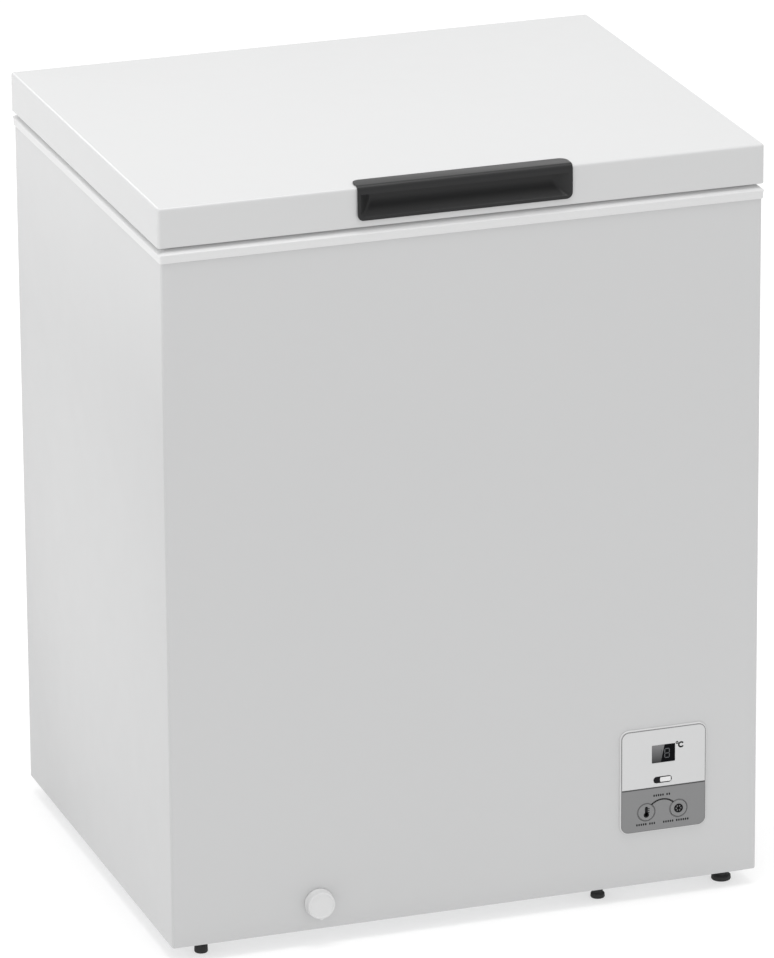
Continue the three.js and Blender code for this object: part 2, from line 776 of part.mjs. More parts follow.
function hingePin() {
  const rod = rodX(HINGE.pinRadius, -32, 30, HINGE.y, HINGE.z);
  const head = rodX(6, 28.4, 31.4, HINGE.y, HINGE.z);
  return join(rod, head);
}

// Lid arm: plate on the lid's back and two knuckles round the pin.
function hingeLeaf() {
  const y0 = LID_DEPTH + FIT;
  const y1 = y0 + 2.5;
  const plate = alongY(roundRect(-23, 23, lidBottom + 3, LID_TOP - 6, 3), y0, y1);
  const arm = new THREE.Shape();
  arm.moveTo(y0 + 0.5, HINGE.z + 6);
  arm.lineTo(y0 + 0.5, HINGE.z + 26);
  arm.lineTo(y1 + 3, HINGE.z + 22);
  arm.lineTo(HINGE.y + 7, HINGE.z);
  arm.absarc(HINGE.y, HINGE.z, 7, 0, -Math.PI / 2, true);
  arm.lineTo(HINGE.y - 3, HINGE.z - 7);
  arm.lineTo(HINGE.y - 8, HINGE.z + 4);
  const left = alongX(arm, -24, -13, 4);
  const right = alongX(arm, 13, 24, 4);
  const bore = rodX(HINGE.boreRadius, -30, 30, HINGE.y, HINGE.z);
  return cut(join(plate, left, right), bore);
}

// Counterbalance spring round the pin, between the knuckles: a ribbed sleeve.
function hingeSpring() {
  const coils = 4;
  const pitch = 6;
  const start = (-coils * pitch) / 2;
  const points = [[4.6, start]];
  for (let coil = 0; coil < coils; coil++) {
    points.push([6.4, start + coil * pitch]);
    points.push([8, start + (coil + 0.5) * pitch]);
  }
  points.push([6.4, start + coils * pitch]);
  points.push([4.6, start + coils * pitch]);
  points.push([4.6, start]);
  const sleeve = turned(points, 12).rotateY(Math.PI / 2);
  return sleeve.translate(0, HINGE.y, HINGE.z);
}

// ---------------------------------------------------------------- lid
const DAM = { x: 262, front: 74, back: 470, low: 790, wall: 2 };
const PAN_UNDERSIDE = lidBottom + 2.7;

// The grip pocket's outer form, let into the lid.
function gripForm(clearance, y0) {
  const halfX = GRIP.halfWidth + GRIP.wall + clearance;
  const low = GRIP.bottom - GRIP.wall - clearance;
  const high = GRIP.top + GRIP.wall + clearance;
  return box(-halfX, halfX, y0, GRIP.depth + GRIP.wall + clearance, low, high);
}

// The lid's outer form with its folded edges, shrunk by an inset, from a height up.
function lidForm(inset, low) {
  const r = EDGE_RADIUS;
  const plan = roundRect(-lidX + r, lidX - r, r, LID_DEPTH - r, 0.5);
  const size = r - inset;
  const bevel = { bevelThickness: size, bevelSize: size, bevelSegments: 2, curveSegments: 2 };
  const height = LID_TOP - inset - low - size;
  const block = new THREE.ExtrudeGeometry(plan, { depth: height, bevelEnabled: true, ...bevel });
  block.translate(0, 0, low);
  const below = box(-lidX - 5, lidX + 5, -5, LID_DEPTH + 5, low - 20, low);
  return cut(block, below);
}

function lidSkin() {
  return cut(lidForm(0, lidBottom), lidForm(SHEET, lidBottom - 10), gripForm(FIT, -5));
}

function damForm(grow, top) {
  const plan = roundRect(-DAM.x - grow, DAM.x + grow, DAM.front - grow, DAM.back + grow, 16 + grow);
  return alongZ(plan, DAM.low - grow, top);
}

function lidFoam() {
  const low = PAN_UNDERSIDE + DAM.wall + FIT;
  const slab = lidForm(SHEET + FIT, low);
  return cut(join(slab, damForm(-DAM.wall - FIT, low + 1)), gripForm(FIT, -1));
}

// White inner tray: flat border for the gasket, and a raised panel that reaches into the mouth.
function lidPan() {
  const x = lidX - SHEET - FIT;
  const top = PAN_UNDERSIDE + DAM.wall;
  const plan = roundRect(-x, x, SHEET + FIT, LID_DEPTH - SHEET - FIT, EDGE_RADIUS - SHEET);
  const border = alongZ(plan, PAN_UNDERSIDE, top);
  return cut(join(border, damForm(0, top)), damForm(-DAM.wall, top + 5));
}

const GASKET = { outer: 24, width: 15 };

function lidGasket() {
  const x = collarX - GASKET.outer;
  const front = -COLLAR_OVERHANG + GASKET.outer;
  const back = collarBack - GASKET.outer;
  const ring = roundRect(-x, x, front, back, 8);
  const w = GASKET.width;
  ring.holes.push(roundRect(-x + w, x - w, front + w, back - w, 4));
  return alongZ(ring, COLLAR_NOSE + FIT, PAN_UNDERSIDE - FIT);
}

// Face plate with a grip pocket, wrapped over the lid's top edge.
function lidHandle() {
  const { halfWidth, bottom, top, front, back } = HANDLE;
  const face = alongY(roundRect(-halfWidth, halfWidth, bottom, top, 7), front, -FIT, 4);
  const cap = alongZ(roundRect(-halfWidth, halfWidth, front, back, 9), LID_TOP + FIT, top, 4);
  const squareFront = box(-halfWidth, halfWidth, front, 10, LID_TOP + FIT, top);
  const pocket = gripForm(0, -1);
  const hollow = box(
    -GRIP.halfWidth, GRIP.halfWidth, front - 1, GRIP.depth, GRIP.bottom, GRIP.top,
  );
  const edge = new THREE.Shape();
  edge.moveTo(front - 1, top + 1);
  edge.lineTo(front - 1, top - 5);
  edge.lineTo(front, top - 5);
  edge.absarc(front + 5, top - 5, 5, Math.PI, Math.PI / 2, true);
  edge.lineTo(front + 5, top + 1);
  const roundOver = alongX(edge, -halfWidth - 1, halfWidth + 1, 4);
  return cut(join(face, cap, squareFront, pocket), hollow, roundOver);
}

// ---------------------------------------------------------------- basket
const basketLeft = BASKET.x;
const basketRight = BASKET.x + BASKET.width;

function basketFloor() {
  const { front, back, bottom, bar } = BASKET;
  const across = [basketLeft + bar, basketRight - bar];
  return lattice(alongZ, across, [front + bar, back - bar], [bottom, bottom + bar], 3, 6, bar);
}

function basketSide(x) {
  const { front, back, bottom, rim, bar } = BASKET;
  const height = [bottom + bar + FIT, rim - 6 - FIT];
  return lattice(alongX, [front + bar, back - bar], height, [x, x + bar], 6, 2, bar);
}

function basketEnd(y) {
  const { bottom, rim, bar } = BASKET;
  const across = [basketLeft + bar + FIT, basketRight - bar - FIT];
  const height = [bottom + bar + FIT, rim - 6 - FIT];
  return lattice(alongY, across, height, [y, y + bar], 3, 2, bar);
}

function basketRim() {
  const { front, back, rim } = BASKET;
  const ring = roundRect(basketLeft, basketRight, front, back, 8);
  ring.holes.push(roundRect(basketLeft + 6, basketRight - 6, front + 6, back - 6, 3));
  return alongZ(ring, rim - 6, rim);
}

// Hook from the rim up the mouth's wall and over the collar's land.
function basketHanger(atBack) {
  const hook = polygon([
    [BASKET.front, BASKET.rim + FIT],
    [BASKET.front + 3.5, BASKET.rim + FIT],
    [BASKET.front + 3.5, COLLAR_NOSE + FIT + 3],
    [MOUTH.front - 13, COLLAR_NOSE + FIT + 3],
    [MOUTH.front - 13, COLLAR_NOSE + FIT],
    [BASKET.front, COLLAR_NOSE + FIT],
  ]);
  const middle = (basketLeft + basketRight) / 2;
  const hanger = alongX(hook, -60, 60);
  if (atBack) {
    hanger.rotateZ(Math.PI);
    hanger.translate(0, MOUTH.front + MOUTH.back, 0);
  }
  return hanger.translate(middle, 0, 0);
}

// ---------------------------------------------------------------- assembly
function buildCabinet() {
  const cabinet = new THREE.Group();
  add(cabinet, "outer_wrap", outerWrap(), white);
  add(cabinet, "rear_panel", rearPanel(), white);
  add(cabinet, "bottom_panel", bottomPanel(), zinc);
  add(cabinet, "compartment_panel", compartmentPanel(), zinc);
  add(cabinet, "inner_liner", innerLiner(), aluminium);
  add(cabinet, "foam_insulation", foamInsulation(), foamYellow);
  add(cabinet, "top_collar", topCollar(), whitePlastic);
  add(cabinet, "evaporator_coil", evaporatorCoil(), aluminium);
  add(cabinet, "condenser_coil", condenserCoil(), copper);
  return cabinet;
}

function buildMachineCompartment() {
  const machine = new THREE.Group();
  add(machine, "base_plate", basePlate(), zinc);
  const shell = add(machine, "compressor_shell", compressorShell(), blackPaint);
  shell.position.set(COMPRESSOR.x, COMPRESSOR.y, COMPRESSOR.bottom);
  const cradleLow = PLATE.low + PLATE.thick + FIT + 18.5;
  const cradle = add(machine, "compressor_cradle", compressorCradle(), blackPaint);
  cradle.position.set(COMPRESSOR.x, COMPRESSOR.y, cradleLow);
  grommetPlaces.forEach(([x, y], index) => {
    const piece = add(machine, `grommet_${index + 1}`, grommet(), blackRubber);
    piece.position.set(COMPRESSOR.x + x, COMPRESSOR.y + y, PLATE.low + PLATE.thick + FIT);
  });
  const shellFront = COMPRESSOR.y - COMPRESSOR.radius * 1.02 * COMPRESSOR.stretch;
  const cover = add(machine, "terminal_cover", terminalCover(), blackPaint);
  cover.position.set(COMPRESSOR.x, shellFront - 26 - FIT, 82);
  const roof = COMPARTMENT.z - FIT - 0.3;
  const discharge = [
    [307.8, 344, 110],
    [320, 326, 110],
    [320, 262, 110],
    [320, 250, 150],
    [320, 250, roof],
  ];
  add(machine, "discharge_line", bentPipe(discharge, 3, 8), copper);
  const suction = [
    [177, 342.5, 104],
    [162, 322, 104],
    [162, 252, 104],
    [162, 240, 150],
    [162, 240, roof],
  ];
  add(machine, "suction_line", bentPipe(suction, 4.5, 9), copper);
  const drier = add(machine, "filter_drier", filterDrier(), copper);
  drier.position.set(312, 190, 130);
  const capillary = [
    [312, 190, 129.4],
    [312, 190, 104],
    [268, 180, 96],
    [240, 180, 130],
    [240, 180, roof],
  ];
  add(machine, "capillary_tube", bentPipe(capillary, 1.6, 9, 6), copper);
  add(machine, "rear_grille", rearGrille(), zinc);
  add(machine, "cord_gland", cordGland(), blackRubber);
  return machine;
}

const FEET = [
  ["foot_front_left", -297, 27, 7.5, CABINET_BOTTOM],
  ["foot_rear_left", -297, 512, 7.5, CABINET_BOTTOM],
  ["foot_front_middle", 161, 26, 8, PLATE.low],
  ["foot_front_right", 308, 29, 11, PLATE.low],
  ["foot_rear_right", 308, 512, 11, PLATE.low],
];

function buildFeet() {
  const feet = new THREE.Group();
  for (const [name, x, y, radius, top] of FEET) {
    const piece = add(feet, name, foot(radius, top - FIT), blackRubber);
    piece.position.set(x, y, 0);
  }
  return feet;
}

function buildControls() {
  const controls = new THREE.Group();
  add(controls, "control_bezel", controlBezel(), whitePlastic);
  add(controls, "control_overlay", controlOverlay(), greyPlastic);
  const front = PANEL.front - 0.9;
  add(controls, "display_window", panelHole(WINDOW, 0, front, 0.6), glassBlack);
  add(controls, "indicator_lens", panelHole(INDICATOR, 0, front, 0.6), whitePlastic);
  add(controls, "circuit_board", circuitBoard(), boardGreen);
  add(controls, "button_temperature", buttonCap(BUTTON.temperatureX), greyPlastic);
  add(controls, "button_freeze", buttonCap(BUTTON.freezeX), greyPlastic);
  return controls;
}

function buildDrain() {
  const drain = new THREE.Group();
  add(drain, "drain_tube", drainTube(), whitePlastic);
  const plug = add(drain, "drain_plug", drainPlug(), whitePlastic);
  plug.position.set(DRAIN.x, DRAIN.y, CAVITY_FLOOR);
  const stem = add(drain, "drain_stem", drainStem(), whitePlastic);
  stem.rotation.x = -Math.PI / 2;
  stem.position.set(DRAIN.x, 0.4, DRAIN.z);
  const dial = add(drain, "drain_dial", drainDial(), whitePlastic);
  dial.rotation.x = -Math.PI / 2;
  dial.position.set(DRAIN.x, DIAL.front, DRAIN.z);
  return drain;
}

function buildHinges() {
  const hinges = new THREE.Group();
  for (const [side, sign] of [["left", -1], ["right", 1]]) {
    const hinge = new THREE.Group();
    hinge.position.x = sign * HINGE.x;
    add(hinge, `hinge_base_${side}`, hingeBase(), zinc);
    add(hinge, `hinge_pin_${side}`, hingePin(), zinc);
    add(hinge, `hinge_leaf_${side}`, hingeLeaf(), zinc);
    add(hinge, `hinge_spring_${side}`, hingeSpring(), zinc);
    hinges.add(hinge);
  }
  return hinges;
}

function buildLid() {
  const lid = new THREE.Group();
  add(lid, "lid_skin", lidSkin(), white);
  add(lid, "lid_foam", lidFoam(), foamYellow);
  add(lid, "lid_pan", lidPan(), whitePlastic);
  add(lid, "lid_gasket", lidGasket(), gasketGrey);
  add(lid, "lid_handle", lidHandle(), darkPlastic);
  return lid;
}

function buildBasket() {
  const basket = new THREE.Group();
  add(basket, "basket_floor", basketFloor(), whitePlastic);
  add(basket, "basket_side_left", basketSide(basketLeft), whitePlastic);
  add(basket, "basket_side_right", basketSide(basketRight - BASKET.bar), whitePlastic);
  add(basket, "basket_end_front", basketEnd(BASKET.front), whitePlastic);
  add(basket, "basket_end_back", basketEnd(BASKET.back - BASKET.bar), whitePlastic);
  add(basket, "basket_rim", basketRim(), whitePlastic);
  add(basket, "basket_hanger_front", basketHanger(false), whitePlastic);
  add(basket, "basket_hanger_back", basketHanger(true), whitePlastic);
  return basket;
}

const freezer = new THREE.Group();
freezer.add(buildCabinet(), buildMachineCompartment(), buildFeet(), buildControls());
freezer.add(buildDrain(), buildHinges(), buildLid(), buildBasket());
freezer.position.y = -(DIAL.front + HINGE.y + BRACKET.reach) / 2;

export default freezer;
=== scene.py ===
"""Chest freezer: the finished surfaces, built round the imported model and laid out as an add-on."""

import math

import bmesh
import bpy
from mathutils import Matrix, Vector


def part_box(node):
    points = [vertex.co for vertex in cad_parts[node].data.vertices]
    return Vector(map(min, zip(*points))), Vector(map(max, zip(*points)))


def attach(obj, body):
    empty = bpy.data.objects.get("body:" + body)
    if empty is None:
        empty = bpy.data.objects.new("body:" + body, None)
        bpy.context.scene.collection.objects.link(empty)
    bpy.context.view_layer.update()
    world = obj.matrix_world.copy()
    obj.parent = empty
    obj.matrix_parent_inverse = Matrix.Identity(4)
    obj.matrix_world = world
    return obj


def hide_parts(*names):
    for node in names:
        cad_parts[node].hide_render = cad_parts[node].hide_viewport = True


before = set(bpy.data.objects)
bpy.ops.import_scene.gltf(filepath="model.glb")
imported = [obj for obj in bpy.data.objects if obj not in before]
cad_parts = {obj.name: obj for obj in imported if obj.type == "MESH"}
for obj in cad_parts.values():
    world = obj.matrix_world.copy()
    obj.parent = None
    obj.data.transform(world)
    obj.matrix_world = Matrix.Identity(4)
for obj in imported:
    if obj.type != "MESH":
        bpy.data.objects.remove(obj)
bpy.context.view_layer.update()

bl_info = {
    "name": "Chest freezer",
    "version": (1, 0, 0),
    "blender": (4, 5, 0),
    "location": "View3D > Sidebar > Freezer",
    "description": "Builds the visible pieces of a chest freezer round its packed model",
    "category": "Object",
}

MM = 0.001
HAIR = 0.02 * MM


class Span:
    """The box that a CAD node fills at rest."""

    def __init__(self, node):
        low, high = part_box(node)
        self.x0, self.y0, self.z0 = low
        self.x1, self.y1, self.z1 = high
        self.x = (low.x + high.x) / 2
        self.y = (low.y + high.y) / 2
        self.z = (low.z + high.z) / 2
        self.across = (low.x, high.x)
        self.along = (low.y, high.y)
        self.upright = (low.z, high.z)


# ------------------------------------------------------------------ mesh helpers


def bevel(bm, geom, offset, segments, affect="EDGES", clamp=True):
    """Rounds edges, or corners if affect is VERTICES."""
    bmesh.ops.bevel(
        bm, geom=geom, offset=offset, offset_type="OFFSET", segments=segments, profile=0.5,
        affect=affect, material=-1, clamp_overlap=clamp,
    )


def meshed(name, bm):
    """Turns a bmesh into a mesh."""
    mesh = bpy.data.meshes.new(name)
    bm.to_mesh(mesh)
    bm.free()
    return mesh


def linked(name, data):
    """Puts an object with this data into the scene."""
    made = bpy.data.objects.new(name, data)
    bpy.context.collection.objects.link(made)
    return made


def evaluated(holder):
    """Returns a bmesh of what an object's curve or modifiers make."""
    bpy.context.view_layer.update()
    bm = bmesh.new()
    bm.from_mesh(holder.evaluated_get(bpy.context.evaluated_depsgraph_get()).to_mesh())
    return bm


def rounded_face(bm, across, along, radius, segments=6):
    """Adds one face in the XY plane over two (low, high) spans, with round corners."""
    before = set(bm.faces)
    verts = bmesh.ops.create_grid(bm, x_segments=1, y_segments=1, size=0.5)["verts"]
    for vert in verts:
        vert.co.x = across[0] + (vert.co.x + 0.5) * (across[1] - across[0])
        vert.co.y = along[0] + (vert.co.y + 0.5) * (along[1] - along[0])
    if radius:
        bevel(bm, verts, radius, segments, "VERTICES", clamp=False)
    return next(face for face in bm.faces if face not in before)


def rounded_loop(bm, across, along, height, radius, segments=6, keep=False):
    """Adds a level loop of edges with round corners, filled if keep is true."""
    face = rounded_face(bm, across, along, radius, segments)
    bmesh.ops.translate(bm, vec=(0, 0, height), verts=face.verts)
    edges = list(face.edges)
    if not keep:
        bmesh.ops.delete(bm, geom=[face], context="FACES_ONLY")
    return edges


def stack(bm, sections, segments=6, low_cap=False, high_cap=False, closed=False):
    """Bridges level loops, each given as (across, along, height, radius).

    Loops at one height are set a hair apart, so that the bridge knows which way it goes.
    """
    last = len(sections) - 1
    loops = []
    below = sections[-1][2] if closed else None
    for index, (across, along, height, radius) in enumerate(sections):
        if below is not None and abs(height - below) < HAIR:
            height = below + HAIR
        below = height
        keep = (low_cap and index == 0) or (high_cap and index == last)
        loops.append(rounded_loop(bm, across, along, height, radius, segments, keep))
    pairs = list(zip(loops, loops[1:]))
    if closed:
        pairs.append((loops[-1], loops[0]))
    for lower, upper in pairs:
        bmesh.ops.bridge_loops(bm, edges=lower + upper)


def cut_opening(bm, flat, low, high):
    """Opens a rectangle between two corners in the flat wall whose faces flat() picks."""
    axes = [axis for axis in range(3) if high[axis] > low[axis]]
    for axis in axes:
        for corner in (low, high):
            faces = [face for face in bm.faces if flat(face.calc_center_median())]
            verts = {vert for face in faces for vert in face.verts}
            edges = {edge for face in faces for edge in face.edges}
            place, normal = Vector(), Vector()
            place[axis] = corner[axis]
            normal[axis] = 1
            bmesh.ops.bisect_plane(
                bm, geom=list(verts) + list(edges) + faces, plane_co=place,
                plane_no=normal, dist=1e-6,
            )
    hole = []
    for face in bm.faces:
        middle = face.calc_center_median()
        if flat(middle) and all(low[axis] < middle[axis] < high[axis] for axis in axes):
            hole.append(face)
    bmesh.ops.delete(bm, geom=hole, context="FACES")


def grown(span, amount):
    return (span[0] - amount, span[1] + amount)


def level(across, along, amount, height, radius):
    """A section for stack: two spans widened by an amount, their height and corner radius."""
    return grown(across, amount), grown(along, amount), height, radius


def turned(bm, profile, steps=48):
    """Spins (radius, height) points round the Z axis and returns the new vertices."""
    before = set(bm.verts)
    verts = [bm.verts.new((radius, 0, height)) for radius, height in profile]
    edges = [bm.edges.new(pair) for pair in zip(verts, verts[1:])]
    bmesh.ops.spin(
        bm, geom=verts + edges, cent=(0, 0, 0), axis=(0, 0, 1), angle=math.tau,
        steps=steps, use_merge=True,
    )
    made = [vert for vert in bm.verts if vert not in before]
    bmesh.ops.remove_doubles(bm, verts=made, dist=1e-6)
    return [vert for vert in bm.verts if vert not in before]


def placed(bm, verts, place, turn=None):
    """Turns vertices by a matrix and then moves them to their place."""
    matrix = Matrix.Translation(place)
    if turn is not None:
        matrix = matrix @ turn.to_4x4()
    bmesh.ops.transform(bm, matrix=matrix, verts=verts)
    return verts


FACING_FRONT = Matrix.Rotation(math.pi / 2, 3, "X")  # local +Z becomes -Y
FACING_BACK = Matrix.Rotation(-math.pi / 2, 3, "X")  # local +Z becomes +Y


def block(bm, low, high, edge=0.0, segments=3):
    """Adds a box with its edges rounded and returns its vertices."""
    before = set(bm.verts)
    size = Vector(high) - Vector(low)
    middle = (Vector(high) + Vector(low)) / 2
    verts = bmesh.ops.create_cube(bm, size=1.0)["verts"]
    bmesh.ops.scale(bm, vec=size, verts=verts)
    bmesh.ops.translate(bm, vec=middle, verts=verts)
    if edge:
        edges = list({e for vert in verts for e in vert.link_edges})
        bevel(bm, edges, edge, segments)
    return [vert for vert in bm.verts if vert not in before]


def plate(bm, across, along, radius, low, high, edge=0.0, segments=6):
    """Adds a level plate with round corners and a rounded top edge."""
    before = set(bm.verts)
    sections = [(across, along, low, radius)]
    steps = 3 if edge else 0
    for step in range(steps + 1):
        angle = (step / steps if steps else 0) * math.pi / 2
        inset = edge * (1 - math.cos(angle))
        height = high - edge + edge * math.sin(angle)
        sections.append(level(across, along, -inset, height, max(radius - inset, 1e-5)))
    stack(bm, sections, segments, low_cap=True, high_cap=True)
    return [vert for vert in bm.verts if vert not in before]


def wires(runs, radius, resolution=2):
    """Returns a bmesh of round wires along (points, closed) runs."""
    curve = bpy.data.curves.new("wire_path", "CURVE")
    curve.dimensions = "3D"
    curve.bevel_depth = radius
    curve.bevel_resolution = resolution
    curve.use_fill_caps = True
    for points, closed in runs:
        spline = curve.splines.new("POLY")
        spline.points.add(len(points) - 1)
        for slot, point in zip(spline.points, points):
            slot.co = (*point, 1)
        spline.use_cyclic_u = closed
    holder = linked("wire_path", curve)
    bm = evaluated(holder)
    bpy.data.objects.remove(holder)
    bpy.data.curves.remove(curve)
    return bm


def finish_piece(name, bm, body, key, replaces=(), sharp=35, outward=True):
    """Makes a bmesh a piece that rides on a body and stands for CAD nodes."""
    bmesh.ops.remove_doubles(bm, verts=bm.verts, dist=1e-6)
    if outward:
        bmesh.ops.recalc_face_normals(bm, faces=bm.faces)
    bm.edges.index_update()
    rims = [edge.index for edge in bm.edges if edge.is_boundary]
    mesh = meshed(name, bm)
    mesh.materials.append(finish(key))
    mesh.shade_smooth()
    mesh.set_sharp_from_angle(angle=math.radians(sharp))
    for rim in rims:
        mesh.edges[rim].use_edge_sharp = True
    piece = linked(name, mesh)
    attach(piece, body)
    if replaces:
        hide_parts(*replaces)
    return piece


def thicken(piece, thickness):
    """Gives an open sheet its wall, on the side away from its normals."""
    solid = piece.modifiers.new("wall", "SOLIDIFY")
    solid.thickness = thickness
    solid.offset = -1
    return solid


def carve(bm, cutter):
    """Cuts one closed bmesh from another and returns what is left."""
    objects = []
    for label, shape in (("whole", bm), ("cutter", cutter)):
        bmesh.ops.recalc_face_normals(shape, faces=shape.faces)
        objects.append(linked(label, meshed(label, shape)))
    whole, tool = objects
    cut = whole.modifiers.new("cut", "BOOLEAN")
    cut.operation = "DIFFERENCE"
    cut.solver = "EXACT"
    cut.object = tool
    result = evaluated(whole)
    for holder in objects:
        bpy.data.objects.remove(holder)
    return result


def refined(node, name, body, key, edge, segments=2, sharp=30):
    """Stands a merged copy of a CAD node in for it, with its edges rounded."""
    bm = bmesh.new()
    bm.from_mesh(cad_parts[node].data)
    bmesh.ops.remove_doubles(bm, verts=bm.verts, dist=1e-6)
    bmesh.ops.dissolve_limit(
        bm, angle_limit=math.radians(0.5), verts=bm.verts, edges=bm.edges
    )
    piece = finish_piece(name, bm, body, key, (node,), sharp, outward=False)
    bevel = piece.modifiers.new("rounded", "BEVEL")
    bevel.width = edge
    bevel.segments = segments
    bevel.limit_method = "ANGLE"
    bevel.angle_limit = math.radians(40)
    bevel.harden_normals = False
    return piece


# ------------------------------------------------------------------ finishes


class Wire:
    """A socket in a finish's node tree; arithmetic on it adds Math nodes."""

    def __init__(self, finish, socket):
        self.finish = finish
        self.socket = socket

    def math(self, operation, first, second=None):
        inputs = {0: first}
        if second is not None:
            inputs[1] = second
        node = self.finish.node("ShaderNodeMath", {"operation": operation}, inputs)
        return Wire(self.finish, node.outputs[0])

    def __add__(self, other):
        return self.math("ADD", self, other)

    def __radd__(self, other):
        return self.math("ADD", other, self)

    def __sub__(self, other):
        return self.math("SUBTRACT", self, other)

    def __rsub__(self, other):
        return self.math("SUBTRACT", other, self)

    def __mul__(self, other):
        return self.math("MULTIPLY", self, other)

    def __rmul__(self, other):
        return self.math("MULTIPLY", other, self)

    def __gt__(self, other):
        return self.math("GREATER_THAN", self, other)

    def __lt__(self, other):
        return self.math("LESS_THAN", self, other)

    def __pow__(self, other):
        return self.math("POWER", self, other)


class Finish:
    """A procedural material on one Principled shader."""

    def __init__(self, name):
        self.material = bpy.data.materials.new(name)
        self.material.use_nodes = True
        self.tree = self.material.node_tree
        self.shader = self.tree.nodes["Principled BSDF"]
        self.place = self.wire("ShaderNodeTexCoord", output="Object")

    def node(self, kind, settings=None, inputs=None):
        made = self.tree.nodes.new(kind)
        for key, value in (settings or {}).items():
            if key == "stops":
                self.set_stops(made.color_ramp, value)
            else:
                setattr(made, key, value)
        for key, value in (inputs or {}).items():
            self.feed(made.inputs[key], value)
        return made

    def wire(self, kind, settings=None, inputs=None, output=0):
        return Wire(self, self.node(kind, settings, inputs).outputs[output])

    def feed(self, socket, value):
        if isinstance(value, Wire):
            self.tree.links.new(value.socket, socket)
        else:
            socket.default_value = value

    def set_stops(self, ramp, stops):
        while len(ramp.elements) < len(stops):
            ramp.elements.new(0.5)
        for element, (position, color) in zip(ramp.elements, stops):
            element.position = position
            element.color = color

    def set(self, **sockets):
        for name, value in sockets.items():
            self.feed(self.shader.inputs[name.replace("_", " ")], value)

    def noise(self, scale, detail=2.0, rough=0.5):
        inputs = {"Vector": self.place, "Scale": scale, "Detail": detail, "Roughness": rough}
        return self.wire("ShaderNodeTexNoise", None, inputs)

    def cells(self, scale, feature="F1", output=0):
        inputs = {"Vector": self.place, "Scale": scale}
        return self.wire("ShaderNodeTexVoronoi", {"feature": feature}, inputs, output)

    def axis(self, name):
        return self.wire("ShaderNodeSeparateXYZ", None, {0: self.place}, name)

    def mix(self, factor, first, second):
        inputs = {0: factor, 6: first, 7: second}
        return self.wire("ShaderNodeMix", {"data_type": "RGBA"}, inputs, 2)

    def shade(self, factor, color, low, high=1.0):
        """Mixes one colour at two strengths."""
        return self.mix(factor, rgb(color, low), rgb(color, high))

    def bump(self, height, strength, distance=0.0005):
        inputs = {"Height": height, "Strength": strength, "Distance": distance}
        self.set(Normal=self.wire("ShaderNodeBump", None, inputs))


def rgb(color, gain=1.0):
    return (color[0] * gain, color[1] * gain, color[2] * gain, 1.0)


def painted_steel(name, color, roughness):
    """Baked enamel on sheet steel: faint clouding, and an orange-peel surface."""
    finish = Finish(name)
    cloud = finish.noise(2.5, 3.0)
    finish.set(Base_Color=finish.shade(cloud, color, 0.985, 1.015))
    finish.set(Roughness=roughness + 0.08 * (finish.noise(28.0, 2.0) - 0.5))
    finish.set(Coat_Weight=0.25)
    finish.set(Coat_Roughness=0.2)
    finish.bump(finish.noise(700.0, 1.5), 0.035, 0.0003)
    return finish.material


def moulded_plastic(
    name, color, roughness, grain=500.0, depth=0.003, spread=0.015, specular=0.5
):
    """Injection-moulded plastic with a fine spark-eroded grain."""
    finish = Finish(name)
    finish.set(Specular_IOR_Level=specular)
    speck = finish.noise(grain * 0.4, 3.0, 0.6)
    finish.set(Base_Color=finish.shade(speck, color, 1 - spread, 1 + spread))
    finish.set(Roughness=roughness + 0.03 * (finish.noise(60.0, 3.0) - 0.5))
    finish.bump(finish.noise(grain, 2.0, 0.6), depth, 0.0002)
    return finish.material


def galvanised(name, color):
    """Zinc-coated sheet with its pale crystal pattern."""
    finish = Finish(name)
    crystal = finish.cells(130.0, output=1)
    tone = finish.wire("ShaderNodeSeparateColor", None, {0: crystal})
    finish.set(Base_Color=finish.shade(tone, color, 0.93, 1.05))
    finish.set(Roughness=0.4 + 0.08 * tone)
    finish.set(Metallic=0.85)
    finish.bump(finish.noise(320.0, 3.0), 0.06, 0.0003)
    return finish.material


def stucco_aluminium(name, color):
    """Embossed liner sheet: small raised pebbles, brighter on top."""
    finish = Finish(name)
    pebble = finish.cells(115.0, "SMOOTH_F1")
    cloud = finish.noise(6.0, 3.0)
    finish.set(Base_Color=finish.shade(cloud, color, 0.74, 0.84))
    finish.set(Roughness=0.46 + 0.25 * pebble)
    finish.set(Metallic=0.75)
    finish.bump(pebble, 0.5, 0.0012)
    return finish.material


def metal_tube(name, color, roughness):
    """Drawn tube or rod: fine marks, with duller patches."""
    finish = Finish(name)
    patch = finish.noise(45.0, 4.0)
    finish.set(Base_Color=finish.shade(patch, color, 0.7, 1.1))
    finish.set(Roughness=roughness + 0.2 * (patch - 0.5))
    finish.set(Metallic=0.9)
    finish.bump(finish.noise(500.0, 2.0), 0.05, 0.0002)
    return finish.material


def black_enamel(name, color):
    """Thick black compressor paint with dust on it."""
    finish = Finish(name)
    dust = finish.noise(90.0, 5.0, 0.65) ** 3.0
    finish.set(Base_Color=finish.mix(dust, rgb(color), (0.16, 0.155, 0.15, 1.0)))
    finish.set(Roughness=0.35 + 0.5 * dust)
    finish.bump(finish.noise(220.0, 2.0), 0.08, 0.0005)
    return finish.material


def soft_rubber(name, color):
    """Matt rubber with a paler bloom."""
    finish = Finish(name)
    bloom = finish.noise(120.0, 4.0)
    finish.set(Base_Color=finish.shade(bloom, color, 0.8, 1.25))
    finish.set(Roughness=0.7 + 0.2 * bloom)
    finish.bump(finish.noise(900.0, 2.0), 0.12, 0.0003)
    return finish.material


def insulating_foam(name, color):
    """Rigid foam with open cells."""
    finish = Finish(name)
    cell = finish.cells(260.0)
    finish.set(Base_Color=finish.shade(cell, color, 0.75, 1.1))
    finish.set(Roughness=0.85 + 0.1 * cell)
    finish.bump(cell, 0.6, 0.001)
    return finish.material


